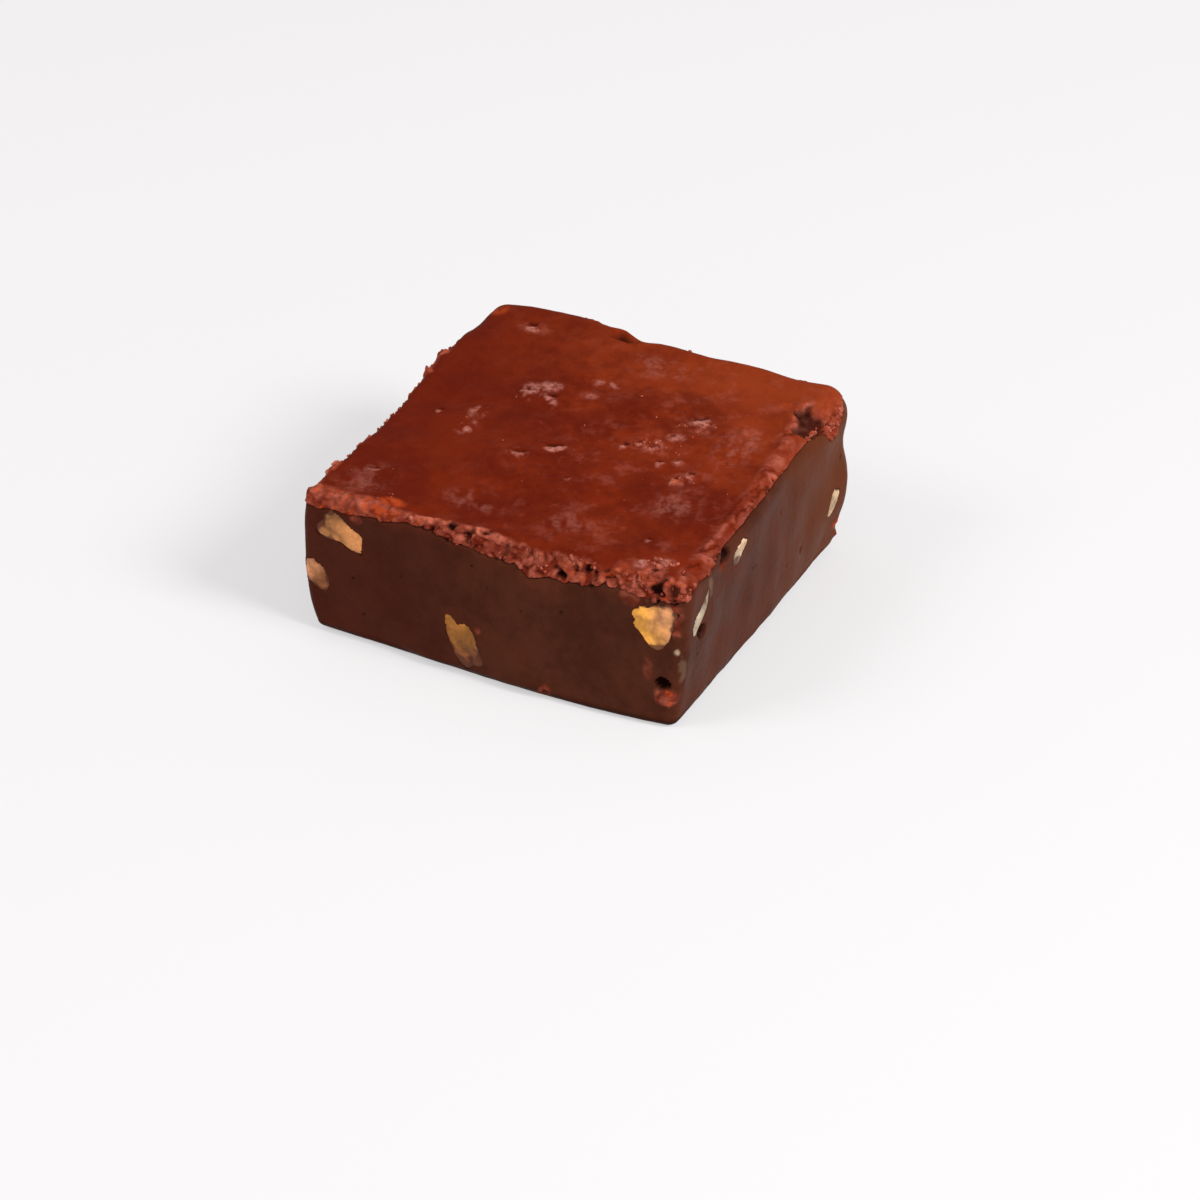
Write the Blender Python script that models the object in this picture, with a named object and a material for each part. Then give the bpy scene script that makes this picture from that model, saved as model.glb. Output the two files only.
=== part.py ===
"""A square of walnut brownie, cut from a tray bake and standing on its flat base.

The brownie is one dense block: a wedge that is a little thicker at the back, knife-cut on its four
sides, with the crust broken along its front edge and torn at one shoulder. The walnut pieces that
the knife cut through show at its sides, and each lies in its own pocket.

Frame: X along the front face from left to right, Y away from the front, Z up. The origin is the
middle of the bounding box's underside.
"""

import math
from collections import namedtuple

import bmesh
import bpy
from mathutils import Vector
from mathutils.bvhtree import BVHTree

MM = 0.001

# The block's four corners, before its edges are rounded: foot on the table, rim at the top.
Corner = namedtuple("Corner", "foot_x foot_y foot_radius rim_x rim_y rim_z rim_radius")
FRONT_LEFT = Corner(-38.0, -36.0, 2.8, -37.4, -35.6, 27.6, 1.3)
FRONT_RIGHT = Corner(34.8, -35.6, 2.0, 37.0, -35.4, 28.8, 2.6)
BACK_RIGHT = Corner(35.0, 31.4, 3.4, 35.8, 34.7, 32.1, 4.8)
BACK_LEFT = Corner(-35.8, 33.0, 2.6, -35.9, 35.1, 31.7, 2.8)

# The straight block that the edges are rounded on, and its number of faces each way.
HALF_WIDTH = 36.0
HALF_DEPTH = 35.0
HALF_HEIGHT = 14.5
FACES_ACROSS = 24
FACES_UP = 10

# Unevenness of the crumb: crossing waves, each shorter and lower than the one before.
WAVE_COUNT = 8
LONGEST_WAVE = 47.0
NEXT_WAVE_LENGTH = 0.76
TALLEST_WAVE = 0.20
NEXT_WAVE_HEIGHT = 0.86
WAVE_TURN = math.radians(137.5)

# The crust's front edge is broken back to a steep crumbling slope, tallest right of the middle.
BREAK_MIDDLE_X = 11.0
BREAK_HALF_LENGTH = 30.0
BREAK_HEIGHT_ENDS = 2.4
BREAK_HEIGHT_MIDDLE = 8.0
BREAK_SET_BACK = 2.0

# The back rim stands further out on the left, down to a step, and is crowned right of the step.
STEP_LEFT_X = -12.5
STEP_RIGHT_X = -4.5
STEP_OUT = 0.9
STEP_RISE = 0.5
CROWN_MIDDLE_X = 11.0
CROWN_HALF_LENGTH = 30.0
CROWN_OUT = 1.1
CROWN_RISE = 1.2

# The left face waves in and out along its length and is full at mid height. The front face is full
# at its foot, more so to the right.
LEFT_WAVE_LENGTH = 74.0
LEFT_WAVE_CREST_Y = 17.0
LEFT_WAVE_HEIGHT = 0.8
LEFT_FULLNESS = 0.6
LEFT_FULLEST_HEIGHT = 13.0
FRONT_FULLNESS = 1.5
FRONT_FULLNESS_LEAN = 0.9

# The lower left edge tucks under, and the back right edge swells out above its foot.
TUCK_HEIGHT = 8.0
TUCK_IN = 1.2
SWELL_HEIGHT = 13.0
SWELL_HALF_HEIGHT = 11.0
SWELL_OUT = 1.5

# Walnut pieces. Each lies flush in a side face: its place along that face and its height, the
# length and width of its cut face, the turn of the length from level, its depth, and its outline's
# lobes as (number of lobes, height as a share of the radius, angle of the first crest).
Walnut = namedtuple("Walnut", "side along up length width turn depth lobes")
WALNUTS = {
    "walnut_front_upper_left": Walnut(
        "front", -29.7, 21.8, 9.8, 5.5, -24, 3.6, ((3, 0.15, -8), (4, 0.08, -43), (5, 0.06, 35))
    ),
    "walnut_front_left_edge": Walnut(
        "front_left", 1.0, 11.6, 6.4, 4.2, -72, 3.0, ((3, 0.12, 21), (4, 0.04, 6))
    ),
    "walnut_front_lower_middle": Walnut(
        "front", -5.0, 6.9, 11.0, 5.8, -59, 3.8, ((3, 0.06, -46), (4, 0.09, 24), (5, 0.06, -34))
    ),
    "walnut_front_upper_right": Walnut(
        "front", 31.2, 20.7, 9.2, 8.0, 74, 3.6, ((3, 0.18, -31),)
    ),
    "walnut_right_near": Walnut(
        "right", -28.8, 20.5, 9.0, 2.6, 50, 3.0, ((3, 0.08, 0), (4, 0.03, 27))
    ),
    "walnut_right_upper": Walnut(
        "right", -14.4, 25.3, 5.8, 3.0, 32, 3.0, ((3, 0.10, -36), (4, 0.08, -41))
    ),
    "walnut_right_far": Walnut(
        "right", 26.7, 12.2, 5.8, 2.9, 68, 2.6, ((3, 0.09, 59), (4, 0.04, 41))
    ),
    "walnut_back_right": Walnut(
        "back", -21.0, 16.4, 9.6, 6.0, 25, 3.6, ((3, 0.14, 40), (5, 0.07, 100))
    ),
    "walnut_back_middle": Walnut(
        "back", 5.0, 9.4, 7.6, 4.6, -50, 3.2, ((3, 0.12, 200), (4, 0.08, 30))
    ),
    "walnut_back_left": Walnut(
        "back", 23.5, 20.2, 10.4, 4.6, -15, 3.4, ((2, 0.06, 50), (3, 0.12, 120))
    ),
    "walnut_left_back": Walnut(
        "left", -19.0, 12.4, 8.6, 5.4, 40, 3.4, ((3, 0.13, 10), (5, 0.06, 60))
    ),
    "walnut_left_front": Walnut(
        "left", 12.0, 19.0, 7.8, 4.2, -30, 3.2, ((3, 0.15, 80), (2, 0.05, 20))
    ),
}
POINTS_AROUND = 20
GAP = 0.3
NUT_STANDS_OUT = 0.05
NUT_CROWN = 0.12
CUTTER_STANDS_OUT = 2.5

# Holes: centre, then half lengths along X, Y and Z.
Hole = namedtuple("Hole", "x y z half_x half_y half_z")
HOLES = {
    "torn_shoulder": Hole(33.4, 21.6, 32.0, 3.6, 5.8, 4.0),
    "torn_shoulder_end": Hole(36.2, 25.4, 29.4, 2.4, 2.0, 2.6),
    "front_corner_hole": Hole(32.9, -35.2, 9.2, 1.5, 2.0, 1.3),
    "right_near_hole": Hole(36.2, -28.2, 16.9, 1.2, 0.95, 1.1),
    "right_upper_hole": Hole(36.7, -19.2, 27.2, 1.5, 1.6, 1.3),
    "right_far_hole": Hole(36.0, 15.4, 8.2, 1.1, 0.9, 0.9),
}
HOLE_LUMP_LENGTH = 3.1
HOLE_LUMP_SHARE = 0.07

BROWNIE_COLOUR = (0.060, 0.014, 0.007, 1.0)
WALNUT_COLOUR = (0.48, 0.23, 0.08, 1.0)
SHARP_FROM = math.radians(40)


def smooth_step(start, end, value):
    """0 before start, 1 after end, and a smooth rise between them."""
    share = min(max((value - start) / (end - start), 0.0), 1.0)
    return share * share * (3.0 - 2.0 * share)


def hump(middle, half_length, value):
    """1 at the middle, falling smoothly to 0 a half length away on each side."""
    return 1.0 - smooth_step(0.0, half_length, abs(value - middle))


def between_corners(values, u, v):
    """A value between those of the front left, front right, back right and back left corners."""
    front_left, front_right, back_right, back_left = values
    right, back = (1.0 + u) / 2.0, (1.0 + v) / 2.0
    front = front_left * (1.0 - right) + front_right * right
    rear = back_left * (1.0 - right) + back_right * right
    return front * (1.0 - back) + rear * back


def rounded_block_point(u, v, w):
    """A point of the straight block with its edges rounded, each way from -1 to 1, and its normal."""
    corners = (FRONT_LEFT, FRONT_RIGHT, BACK_RIGHT, BACK_LEFT)
    foot = between_corners([corner.foot_radius for corner in corners], u, v)
    rim = between_corners([corner.rim_radius for corner in corners], u, v)
    radius = foot + (rim - foot) * (1.0 + w) / 2.0
    half = Vector((HALF_WIDTH, HALF_DEPTH, HALF_HEIGHT))
    point = Vector((u * half.x, v * half.y, w * half.z))
    inner = Vector(min(max(point[i], radius - half[i]), half[i] - radius) for i in range(3))
    normal = (point - inner).normalized()
    point = inner + normal * radius
    return Vector(point[i] / half[i] for i in range(3)), normal


def wedge_point(place):
    """The straight block's point carried to the real corners: the foot below, the rim above."""
    corners = (FRONT_LEFT, FRONT_RIGHT, BACK_RIGHT, BACK_LEFT)
    up = (1.0 + place.z) / 2.0
    values = []
    for foot, rim in (
        ([corner.foot_x for corner in corners], [corner.rim_x for corner in corners]),
        ([corner.foot_y for corner in corners], [corner.rim_y for corner in corners]),
        ([0.0] * len(corners), [corner.rim_z for corner in corners]),
    ):
        low = between_corners(foot, place.x, place.y)
        high = between_corners(rim, place.x, place.y)
        values.append(low + (high - low) * up)
    return Vector(values)


def unevenness(point):
    """Height of the crumb's lumps at a point: plane waves that cross at evenly turned angles."""
    height = 0.0
    for number in range(WAVE_COUNT):
        turn = number * WAVE_TURN
        direction = Vector((math.cos(turn), math.sin(turn), math.cos(2.0 * turn + 1.0))).normalized()
        length = LONGEST_WAVE * NEXT_WAVE_LENGTH**number
        phase = 2.0 * math.pi * point.dot(direction) / length + 3.0 * number
        height += TALLEST_WAVE * NEXT_WAVE_HEIGHT**number * math.cos(phase)
    return height


def front_break(point, place):
    """How far the broken front edge is set back at a point, in millimetres."""
    share = hump(BREAK_MIDDLE_X, BREAK_HALF_LENGTH, point.x)
    height = BREAK_HEIGHT_ENDS + (BREAK_HEIGHT_MIDDLE - BREAK_HEIGHT_ENDS) * share
    rim = between_corners(
        (FRONT_LEFT.rim_z, FRONT_RIGHT.rim_z, BACK_RIGHT.rim_z, BACK_LEFT.rim_z), place.x, place.y
    )
    near_front = smooth_step(-0.86, -0.97, place.y)
    set_back = BREAK_SET_BACK * (0.4 + 0.6 * share)
    return set_back * smooth_step(rim - height, rim, point.z) * near_front


def brownie_point(a, b, c):
    """Carries a point of the cube from -1 to 1 to the brownie's surface, in metres.

    The sine packs the rows of faces close to the edges, where the surface turns.
    """
    u, v, w = (math.sin(0.5 * math.pi * value) for value in (a, b, c))
    place, normal = rounded_block_point(u, v, w)
    point = wedge_point(place)
    off_table = smooth_step(-0.2, 0.3, normal.z + smooth_step(0.0, 4.0, point.z))
    rough = unevenness(point) * off_table

    up = (1.0 + place.z) / 2.0
    at_back = smooth_step(0.80, 1.0, place.y) * smooth_step(0.3, 0.9, up)
    left_of_step = 1.0 - smooth_step(STEP_LEFT_X, STEP_RIGHT_X, point.x)
    inside_ends = 1.0 - smooth_step(0.75, 1.0, abs(place.x))
    step = (left_of_step - 0.5) * at_back * inside_ends
    crown = hump(CROWN_MIDDLE_X, CROWN_HALF_LENGTH, point.x) * at_back
    tuck = TUCK_IN * (1.0 - smooth_step(0.0, TUCK_HEIGHT, point.z)) * smooth_step(-0.85, -1.0, place.x)
    swell_height = hump(SWELL_HEIGHT, SWELL_HALF_HEIGHT, point.z)
    swell = SWELL_OUT * swell_height * smooth_step(0.5, 1.0, place.x) * smooth_step(0.5, 1.0, place.y)

    at_left = smooth_step(-0.6, -1.0, place.x)
    wave = math.cos(2.0 * math.pi * (point.y - LEFT_WAVE_CREST_Y) / LEFT_WAVE_LENGTH)
    at_front = smooth_step(-0.6, -1.0, place.y)
    lean = 1.0 + FRONT_FULLNESS_LEAN * place.x
    fullness = FRONT_FULLNESS * (1.0 - place.x**2) * lean * (1.0 - up) * at_front
    left_fullness = LEFT_FULLNESS * hump(LEFT_FULLEST_HEIGHT, LEFT_FULLEST_HEIGHT, point.z) * at_left
    set_back = front_break(point, place)
    point += normal * rough
    point.x += tuck + swell - LEFT_WAVE_HEIGHT * wave * at_left - left_fullness
    point.y += set_back + 2.0 * STEP_OUT * step + CROWN_OUT * crown + 0.5 * swell - fullness
    point.z += STEP_RISE * step + CROWN_RISE * crown
    return point * MM


def cube_edges_along(mesh, axis):
    """The edges of the straight cube that run along an axis."""
    others = [i for i in range(3) if i != axis]
    return [
        edge
        for edge in mesh.edges
        if all(abs(edge.verts[0].co[i] - edge.verts[1].co[i]) < 1e-6 for i in others)
    ]


def stand_on_origin(mesh):
    """Moves a mesh so that the middle of its box's underside is at the origin."""
    for axis in range(3):
        values = [vertex.co[axis] for vertex in mesh.verts]
        shift = min(values) if axis == 2 else (min(values) + max(values)) / 2.0
        for vertex in mesh.verts:
            vertex.co[axis] -= shift


def brownie_mesh():
    """The uncut block: a cube divided each way, with each vertex carried to the surface."""
    mesh = bmesh.new()
    bmesh.ops.create_cube(mesh, size=2.0)
    for axis, faces in enumerate((FACES_ACROSS, FACES_ACROSS, FACES_UP)):
        edges = cube_edges_along(mesh, axis)
        bmesh.ops.subdivide_edges(mesh, edges=edges, cuts=faces - 1)
    for vertex in mesh.verts:
        vertex.co = brownie_point(*vertex.co)
    stand_on_origin(mesh)
    bmesh.ops.triangulate(mesh, faces=mesh.faces[:])
    return mesh


def side_axes(side):
    """A side face's outward direction, and the direction along it as seen from outside."""
    outward = {
        "front": Vector((0.0, -1.0, 0.0)),
        "right": Vector((1.0, 0.0, 0.0)),
        "back": Vector((0.0, 1.0, 0.0)),
        "left": Vector((-1.0, 0.0, 0.0)),
        "front_left": Vector((-1.0, -1.0, 0.0)).normalized(),
    }[side]
    return outward, Vector((-outward.y, outward.x, 0.0))


def side_middle(side):
    """Where a side's places are measured from: the block's axis, or its front left edge."""
    if side == "front_left":
        return Vector((FRONT_LEFT.rim_x, FRONT_LEFT.rim_y, 0.0))
    return Vector((0.0, 0.0, 0.0))


def outline_radius(nut, angle):
    """The outline's radius at an angle, as a share of its mean: 1 plus each lobe's cosine wave."""
    waves = (
        share * math.cos(count * (angle - math.radians(crest))) for count, share, crest in nut.lobes
    )
    return 1.0 + sum(waves)


def walnut_ring(nut, surface, grow, scale, level):
    """Points round the nut's outline, at a level above (or, if negative, below) the cut face."""
    outward, along = side_axes(nut.side)
    turn = math.radians(nut.turn)
    points = []
    for step in range(POINTS_AROUND):
        angle = 2.0 * math.pi * step / POINTS_AROUND
        radius = outline_radius(nut, angle) * scale
        lengthways = (nut.length / 2.0 + grow) * radius * math.cos(angle)
        widthways = (nut.width / 2.0 + grow) * radius * math.sin(angle)
        place = nut.along + lengthways * math.cos(turn) - widthways * math.sin(turn)
        height = nut.up + lengthways * math.sin(turn) + widthways * math.cos(turn)
        foot = side_middle(nut.side) + along * place + Vector((0.0, 0.0, height))
        far = (foot + outward * 60.0) * MM
        hit = surface.ray_cast(far, -outward)[0]
        points.append(hit + outward * level * MM)
    return points


def walnut_mesh(nut, surface, grow, top):
    """A nut as rings of points: a crowned face at the top level over a bowl sunk in the brownie."""
    depth = nut.depth + grow
    rings = (
        (0.55, top + NUT_CROWN),
        (1.0, top),
        (0.96, -0.35 * depth),
        (0.76, -0.75 * depth),
        (0.42, -0.96 * depth),
    )
    mesh = bmesh.new()
    loops = []
    for scale, level in rings:
        points = walnut_ring(nut, surface, grow, scale, level)
        loops.append([mesh.verts.new(point) for point in points])
    for outer, inner in zip(loops, loops[1:]):
        for step in range(POINTS_AROUND):
            after = (step + 1) % POINTS_AROUND
            mesh.faces.new((outer[step], inner[step], inner[after], outer[after]))
    for loop in (loops[0], loops[-1]):
        middle = sum((vertex.co for vertex in loop), Vector()) / POINTS_AROUND
        pole = mesh.verts.new(middle)
        for step in range(POINTS_AROUND):
            mesh.faces.new((pole, loop[step], loop[(step + 1) % POINTS_AROUND]))
    bmesh.ops.recalc_face_normals(mesh, faces=mesh.faces[:])
    bmesh.ops.triangulate(mesh, faces=mesh.faces[:])
    return mesh


def hole_mesh(hole):
    """An uneven egg, lumpy with three crossing waves, which cuts a hole or a torn hollow."""
    mesh = bmesh.new()
    bmesh.ops.create_icosphere(mesh, subdivisions=2, radius=1.0)
    centre = Vector((hole.x, hole.y, hole.z))
    for vertex in mesh.verts:
        reach = Vector((vertex.co.x * hole.half_x, vertex.co.y * hole.half_y, vertex.co.z * hole.half_z))
        around = (centre + reach) * 2.0 * math.pi / HOLE_LUMP_LENGTH
        lump = math.cos(around.x) + math.cos(around.y + 1.0) + math.cos(around.z + 2.0)
        vertex.co = (centre + reach * (1.0 + HOLE_LUMP_SHARE * lump)) * MM
    return mesh


def material(name, colour, roughness):
    """A plain Principled material."""
    made = bpy.data.materials.new(name)
    made.use_nodes = True
    shader = made.node_tree.nodes["Principled BSDF"]
    shader.inputs["Base Color"].default_value = colour
    shader.inputs["Roughness"].default_value = roughness
    shader.inputs["Metallic"].default_value = 0.0
    return made


def new_object(name, mesh, finish):
    """A mesh object with this name and, where it is given, this material."""
    data = bpy.data.meshes.new(name)
    mesh.to_mesh(data)
    mesh.free()
    data.shade_smooth()
    data.set_sharp_from_angle(angle=SHARP_FROM)
    if finish:
        data.materials.append(finish)
    made = bpy.data.objects.new(name, data)
    bpy.context.scene.collection.objects.link(made)
    return made


def cut(body, cutter):
    """Takes the cutter's shape out of the body."""
    cutter.hide_render = True
    cutter.display_type = "WIRE"
    boolean = body.modifiers.new(cutter.name, "BOOLEAN")
    boolean.operation = "DIFFERENCE"
    boolean.solver = "EXACT"
    boolean.object = cutter


def main():
    for old in list(bpy.data.objects):
        bpy.data.objects.remove(old, do_unlink=True)
    fudge = material("fudge", BROWNIE_COLOUR, 0.55)
    nutmeat = material("nutmeat", WALNUT_COLOUR, 0.5)

    block = brownie_mesh()
    surface = BVHTree.FromBMesh(block)
    body = new_object("brownie_body", block, fudge)
    for name, nut in WALNUTS.items():
        new_object(name, walnut_mesh(nut, surface, 0.0, NUT_STANDS_OUT), nutmeat)
        pocket = walnut_mesh(nut, surface, GAP, CUTTER_STANDS_OUT)
        cut(body, new_object("pocket_of_" + name, pocket, None))
    for name, hole in HOLES.items():
        cut(body, new_object(name, hole_mesh(hole), None))


main()
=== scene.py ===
"""A square of walnut brownie on a pale floor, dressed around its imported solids.

Lengths are in millimetres in the formulas, and become metres where a mesh is made. X runs along the
front face, Y away from it and Z up, from the middle of the underside.
"""

import itertools
import math

import bpy
import numpy as np
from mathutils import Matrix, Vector


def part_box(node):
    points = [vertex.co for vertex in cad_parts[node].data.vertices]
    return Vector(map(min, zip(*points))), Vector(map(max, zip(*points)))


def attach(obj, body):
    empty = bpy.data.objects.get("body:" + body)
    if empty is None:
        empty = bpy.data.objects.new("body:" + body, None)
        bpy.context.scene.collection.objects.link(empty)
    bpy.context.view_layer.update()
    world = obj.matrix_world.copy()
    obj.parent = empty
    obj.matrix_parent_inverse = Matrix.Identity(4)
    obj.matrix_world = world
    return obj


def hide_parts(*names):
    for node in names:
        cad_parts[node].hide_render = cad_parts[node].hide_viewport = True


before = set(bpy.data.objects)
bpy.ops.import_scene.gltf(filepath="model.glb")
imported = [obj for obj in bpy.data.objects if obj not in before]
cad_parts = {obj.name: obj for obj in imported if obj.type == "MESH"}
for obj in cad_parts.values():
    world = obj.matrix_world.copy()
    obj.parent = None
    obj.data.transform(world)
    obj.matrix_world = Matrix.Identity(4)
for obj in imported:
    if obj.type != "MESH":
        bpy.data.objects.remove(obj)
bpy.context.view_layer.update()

# ---------------------------------------------------------------------------------------------------
# The studio: a pale light table that fills in the shadows, one large soft lamp on the right, a weaker
# one on the left, and a long lens that looks down on the front right corner.
# ---------------------------------------------------------------------------------------------------
MM = 0.001
TABLE_HALF = 3.0
TABLE_COLOUR = (0.36, 0.353, 0.354, 1.0)
TABLE_GLOW = (1.0, 0.985, 0.990, 1.0)
TABLE_GLOW_STRENGTH = 0.50
TABLE_ROUGHNESS = 0.9
ROOM_LIGHT = (1.0, 0.995, 0.985, 1.0)
ROOM_STRENGTH = 0.50
AIM = Vector((5.17, -4.0, 0.0)) * MM
CAMERA_TURN = math.radians(26.858)
CAMERA_RISE = math.radians(33.0)
CAMERA_DISTANCE = 0.802
CAMERA_LENS = 135.0
SENSOR_WIDTH = 36.0
LAMPS = {
    "lamp_right": {"place": (1.10, -0.10, 0.90), "size": 0.55, "power": 18.0},
    "lamp_left": {"place": (-0.70, -0.75, 0.95), "size": 0.60, "power": 6.0},
}


def fill(tree, made, sockets):
    """Fills each input of a node with a value, or links it to another node's output."""
    for name, value in sockets.items():
        if isinstance(value, bpy.types.NodeSocket):
            tree.links.new(value, made.inputs[name])
        else:
            made.inputs[name].default_value = value


def node(tree, kind, sockets=None, **properties):
    """Adds a node to a tree, sets its properties and fills its inputs."""
    made = tree.nodes.new(kind)
    for name, value in properties.items():
        setattr(made, name, value)
    fill(tree, made, sockets or {})
    return made


def new_material(name):
    """An empty node material: its tree and its Principled shader."""
    made = bpy.data.materials.new(name)
    made.use_nodes = True
    return made, made.node_tree, made.node_tree.nodes["Principled BSDF"]


def link_object(name, data):
    """Puts new data into the scene as an object of that name, at the origin."""
    made = bpy.data.objects.new(name, data)
    bpy.context.scene.collection.objects.link(made)
    return made


table = bpy.data.meshes.new("table_top")
corners = [(x * TABLE_HALF, y * TABLE_HALF, 0.0) for x, y in ((-1, -1), (1, -1), (1, 1), (-1, 1))]
table.from_pydata(corners, [], [(0, 1, 2, 3)])
table_paint, tree, shader = new_material("table_paint")
fill(
    tree,
    shader,
    {
        "Base Color": TABLE_COLOUR,
        "Roughness": TABLE_ROUGHNESS,
        "Specular IOR Level": 0.0,
        "Emission Color": TABLE_GLOW,
        "Emission Strength": TABLE_GLOW_STRENGTH,
    },
)
table.materials.append(table_paint)
link_object("table_top", table)

room = bpy.data.worlds.new("room")
bpy.context.scene.world = room
room.use_nodes = True
background = room.node_tree.nodes["Background"]
fill(room.node_tree, background, {"Color": ROOM_LIGHT, "Strength": ROOM_STRENGTH})
for name, lamp in LAMPS.items():
    light = bpy.data.lights.new(name, "AREA")
    light.shape = "DISK"
    light.size = lamp["size"]
    light.energy = lamp["power"]
    holder = link_object(name, light)
    holder.location = lamp["place"]
    holder.rotation_euler = (-Vector(lamp["place"])).to_track_quat("-Z", "Y").to_euler()

away = Vector(
    (
        math.sin(CAMERA_TURN) * math.cos(CAMERA_RISE),
        -math.cos(CAMERA_TURN) * math.cos(CAMERA_RISE),
        math.sin(CAMERA_RISE),
    )
)
camera = bpy.data.cameras.new("camera")
camera.lens = CAMERA_LENS
camera.sensor_width = SENSOR_WIDTH
camera_stand = link_object("camera", camera)
camera_stand.location = AIM + away * CAMERA_DISTANCE
camera_stand.rotation_euler = (-away).to_track_quat("-Z", "Y").to_euler()
bpy.context.scene.camera = camera_stand
bpy.context.scene.view_settings.view_transform = "Standard"
bpy.context.scene.view_settings.look = "None"

# ---------------------------------------------------------------------------------------------------
# The block: one dense piece of fudgy crumb, cut from the tray with a knife on all four sides. The
# knife smooths the moist crumb, and opens small pores, holes and patches of torn, redder crumb.
# ---------------------------------------------------------------------------------------------------

# The four corners: front left, front right, back right and back left.
FOOT_X = (-38.0, 34.8, 35.0, -35.8)
FOOT_Y = (-36.0, -35.6, 31.4, 33.0)
FOOT_RADIUS = (2.8, 2.0, 3.4, 2.6)
RIM_X = (-37.4, 37.0, 35.8, -35.9)
RIM_Y = (-35.6, -35.4, 34.7, 35.1)
RIM_Z = (27.6, 28.8, 32.1, 31.7)
RIM_RADIUS = (1.3, 2.6, 4.8, 2.8)
HALF = np.array((36.0, 35.0, 14.5))

WAVE_COUNT = 8
LONGEST_WAVE = 47.0
NEXT_WAVE_LENGTH = 0.76
TALLEST_WAVE = 0.20
NEXT_WAVE_HEIGHT = 0.86
WAVE_TURN = math.radians(137.5)

# The front rim is broken: where, how long, how far down at its ends and middle, how far set back.
BREAK_MIDDLE_X = 11.0
BREAK_HALF_LENGTH = 30.0
BREAK_HEIGHT_ENDS = 2.4
BREAK_HEIGHT_MIDDLE = 8.0
BREAK_SET_BACK = 2.0
# The back steps out and up to the left of the middle, and its rim is crowned.
STEP_LEFT_X = -12.5
STEP_RIGHT_X = -4.5
STEP_OUT = 1.8
STEP_RISE = 0.5
CROWN_MIDDLE_X = 11.0
CROWN_HALF_LENGTH = 30.0
CROWN_OUT = 1.1
CROWN_RISE = 1.2
# The left side waves, bulges and is tucked in at its foot. The front's foot bulges, most to the
# right, and the back right corner swells.
LEFT_WAVE_LENGTH = 74.0
LEFT_WAVE_CREST_Y = 17.0
LEFT_WAVE_HEIGHT = 0.8
LEFT_FULLNESS = 0.6
LEFT_FULLEST_HEIGHT = 13.0
FRONT_FULLNESS = 1.5
FRONT_FULLNESS_LEAN = 0.9
TUCK_HEIGHT = 8.0
TUCK_IN = 1.2
SWELL_HEIGHT = 13.0
SWELL_HALF_HEIGHT = 11.0
SWELL_OUT = 1.5
# The solid's own corners across and upward, and how often a place on a side is corrected.
SOLID_ACROSS = 25
SOLID_UP = 11
PLACE_ROUNDS = 14

COLUMNS_PER_SIDE = 250
COLUMNS = 4 * COLUMNS_PER_SIDE
SIDE_ROWS = 86


def smooth_step(start, end, value):
    """0 before start, 1 after end, and 3t^2 - 2t^3 between them."""
    share = np.clip((value - start) / (end - start), 0.0, 1.0)
    return share * share * (3.0 - 2.0 * share)


def hump(middle, half_length, value):
    """1 at the middle, falling smoothly to 0 a half length away on each side."""
    return 1.0 - smooth_step(0.0, half_length, np.abs(value - middle))


def between_corners(values, u, v):
    """Blends the four corners' values across the block, in proportion to u and v from -1 to 1."""
    right = (1.0 + u) / 2.0
    back = (1.0 + v) / 2.0
    front_value = values[0] * (1.0 - right) + values[1] * right
    back_value = values[3] * (1.0 - right) + values[2] * right
    return front_value * (1.0 - back) + back_value * back


def unevenness(points):
    """The crumb's long lumps: plane waves crossing at even turns, each shorter and lower."""
    height = np.zeros(points.shape[:-1])
    for number in range(WAVE_COUNT):
        turn = number * WAVE_TURN
        direction = np.array((math.cos(turn), math.sin(turn), math.cos(2.0 * turn + 1.0)))
        direction = direction / np.linalg.norm(direction)
        length = LONGEST_WAVE * NEXT_WAVE_LENGTH**number
        phase = 2.0 * math.pi * (points @ direction) / length + 3.0 * number
        height += TALLEST_WAVE * NEXT_WAVE_HEIGHT**number * np.cos(phase)
    return height


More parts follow.
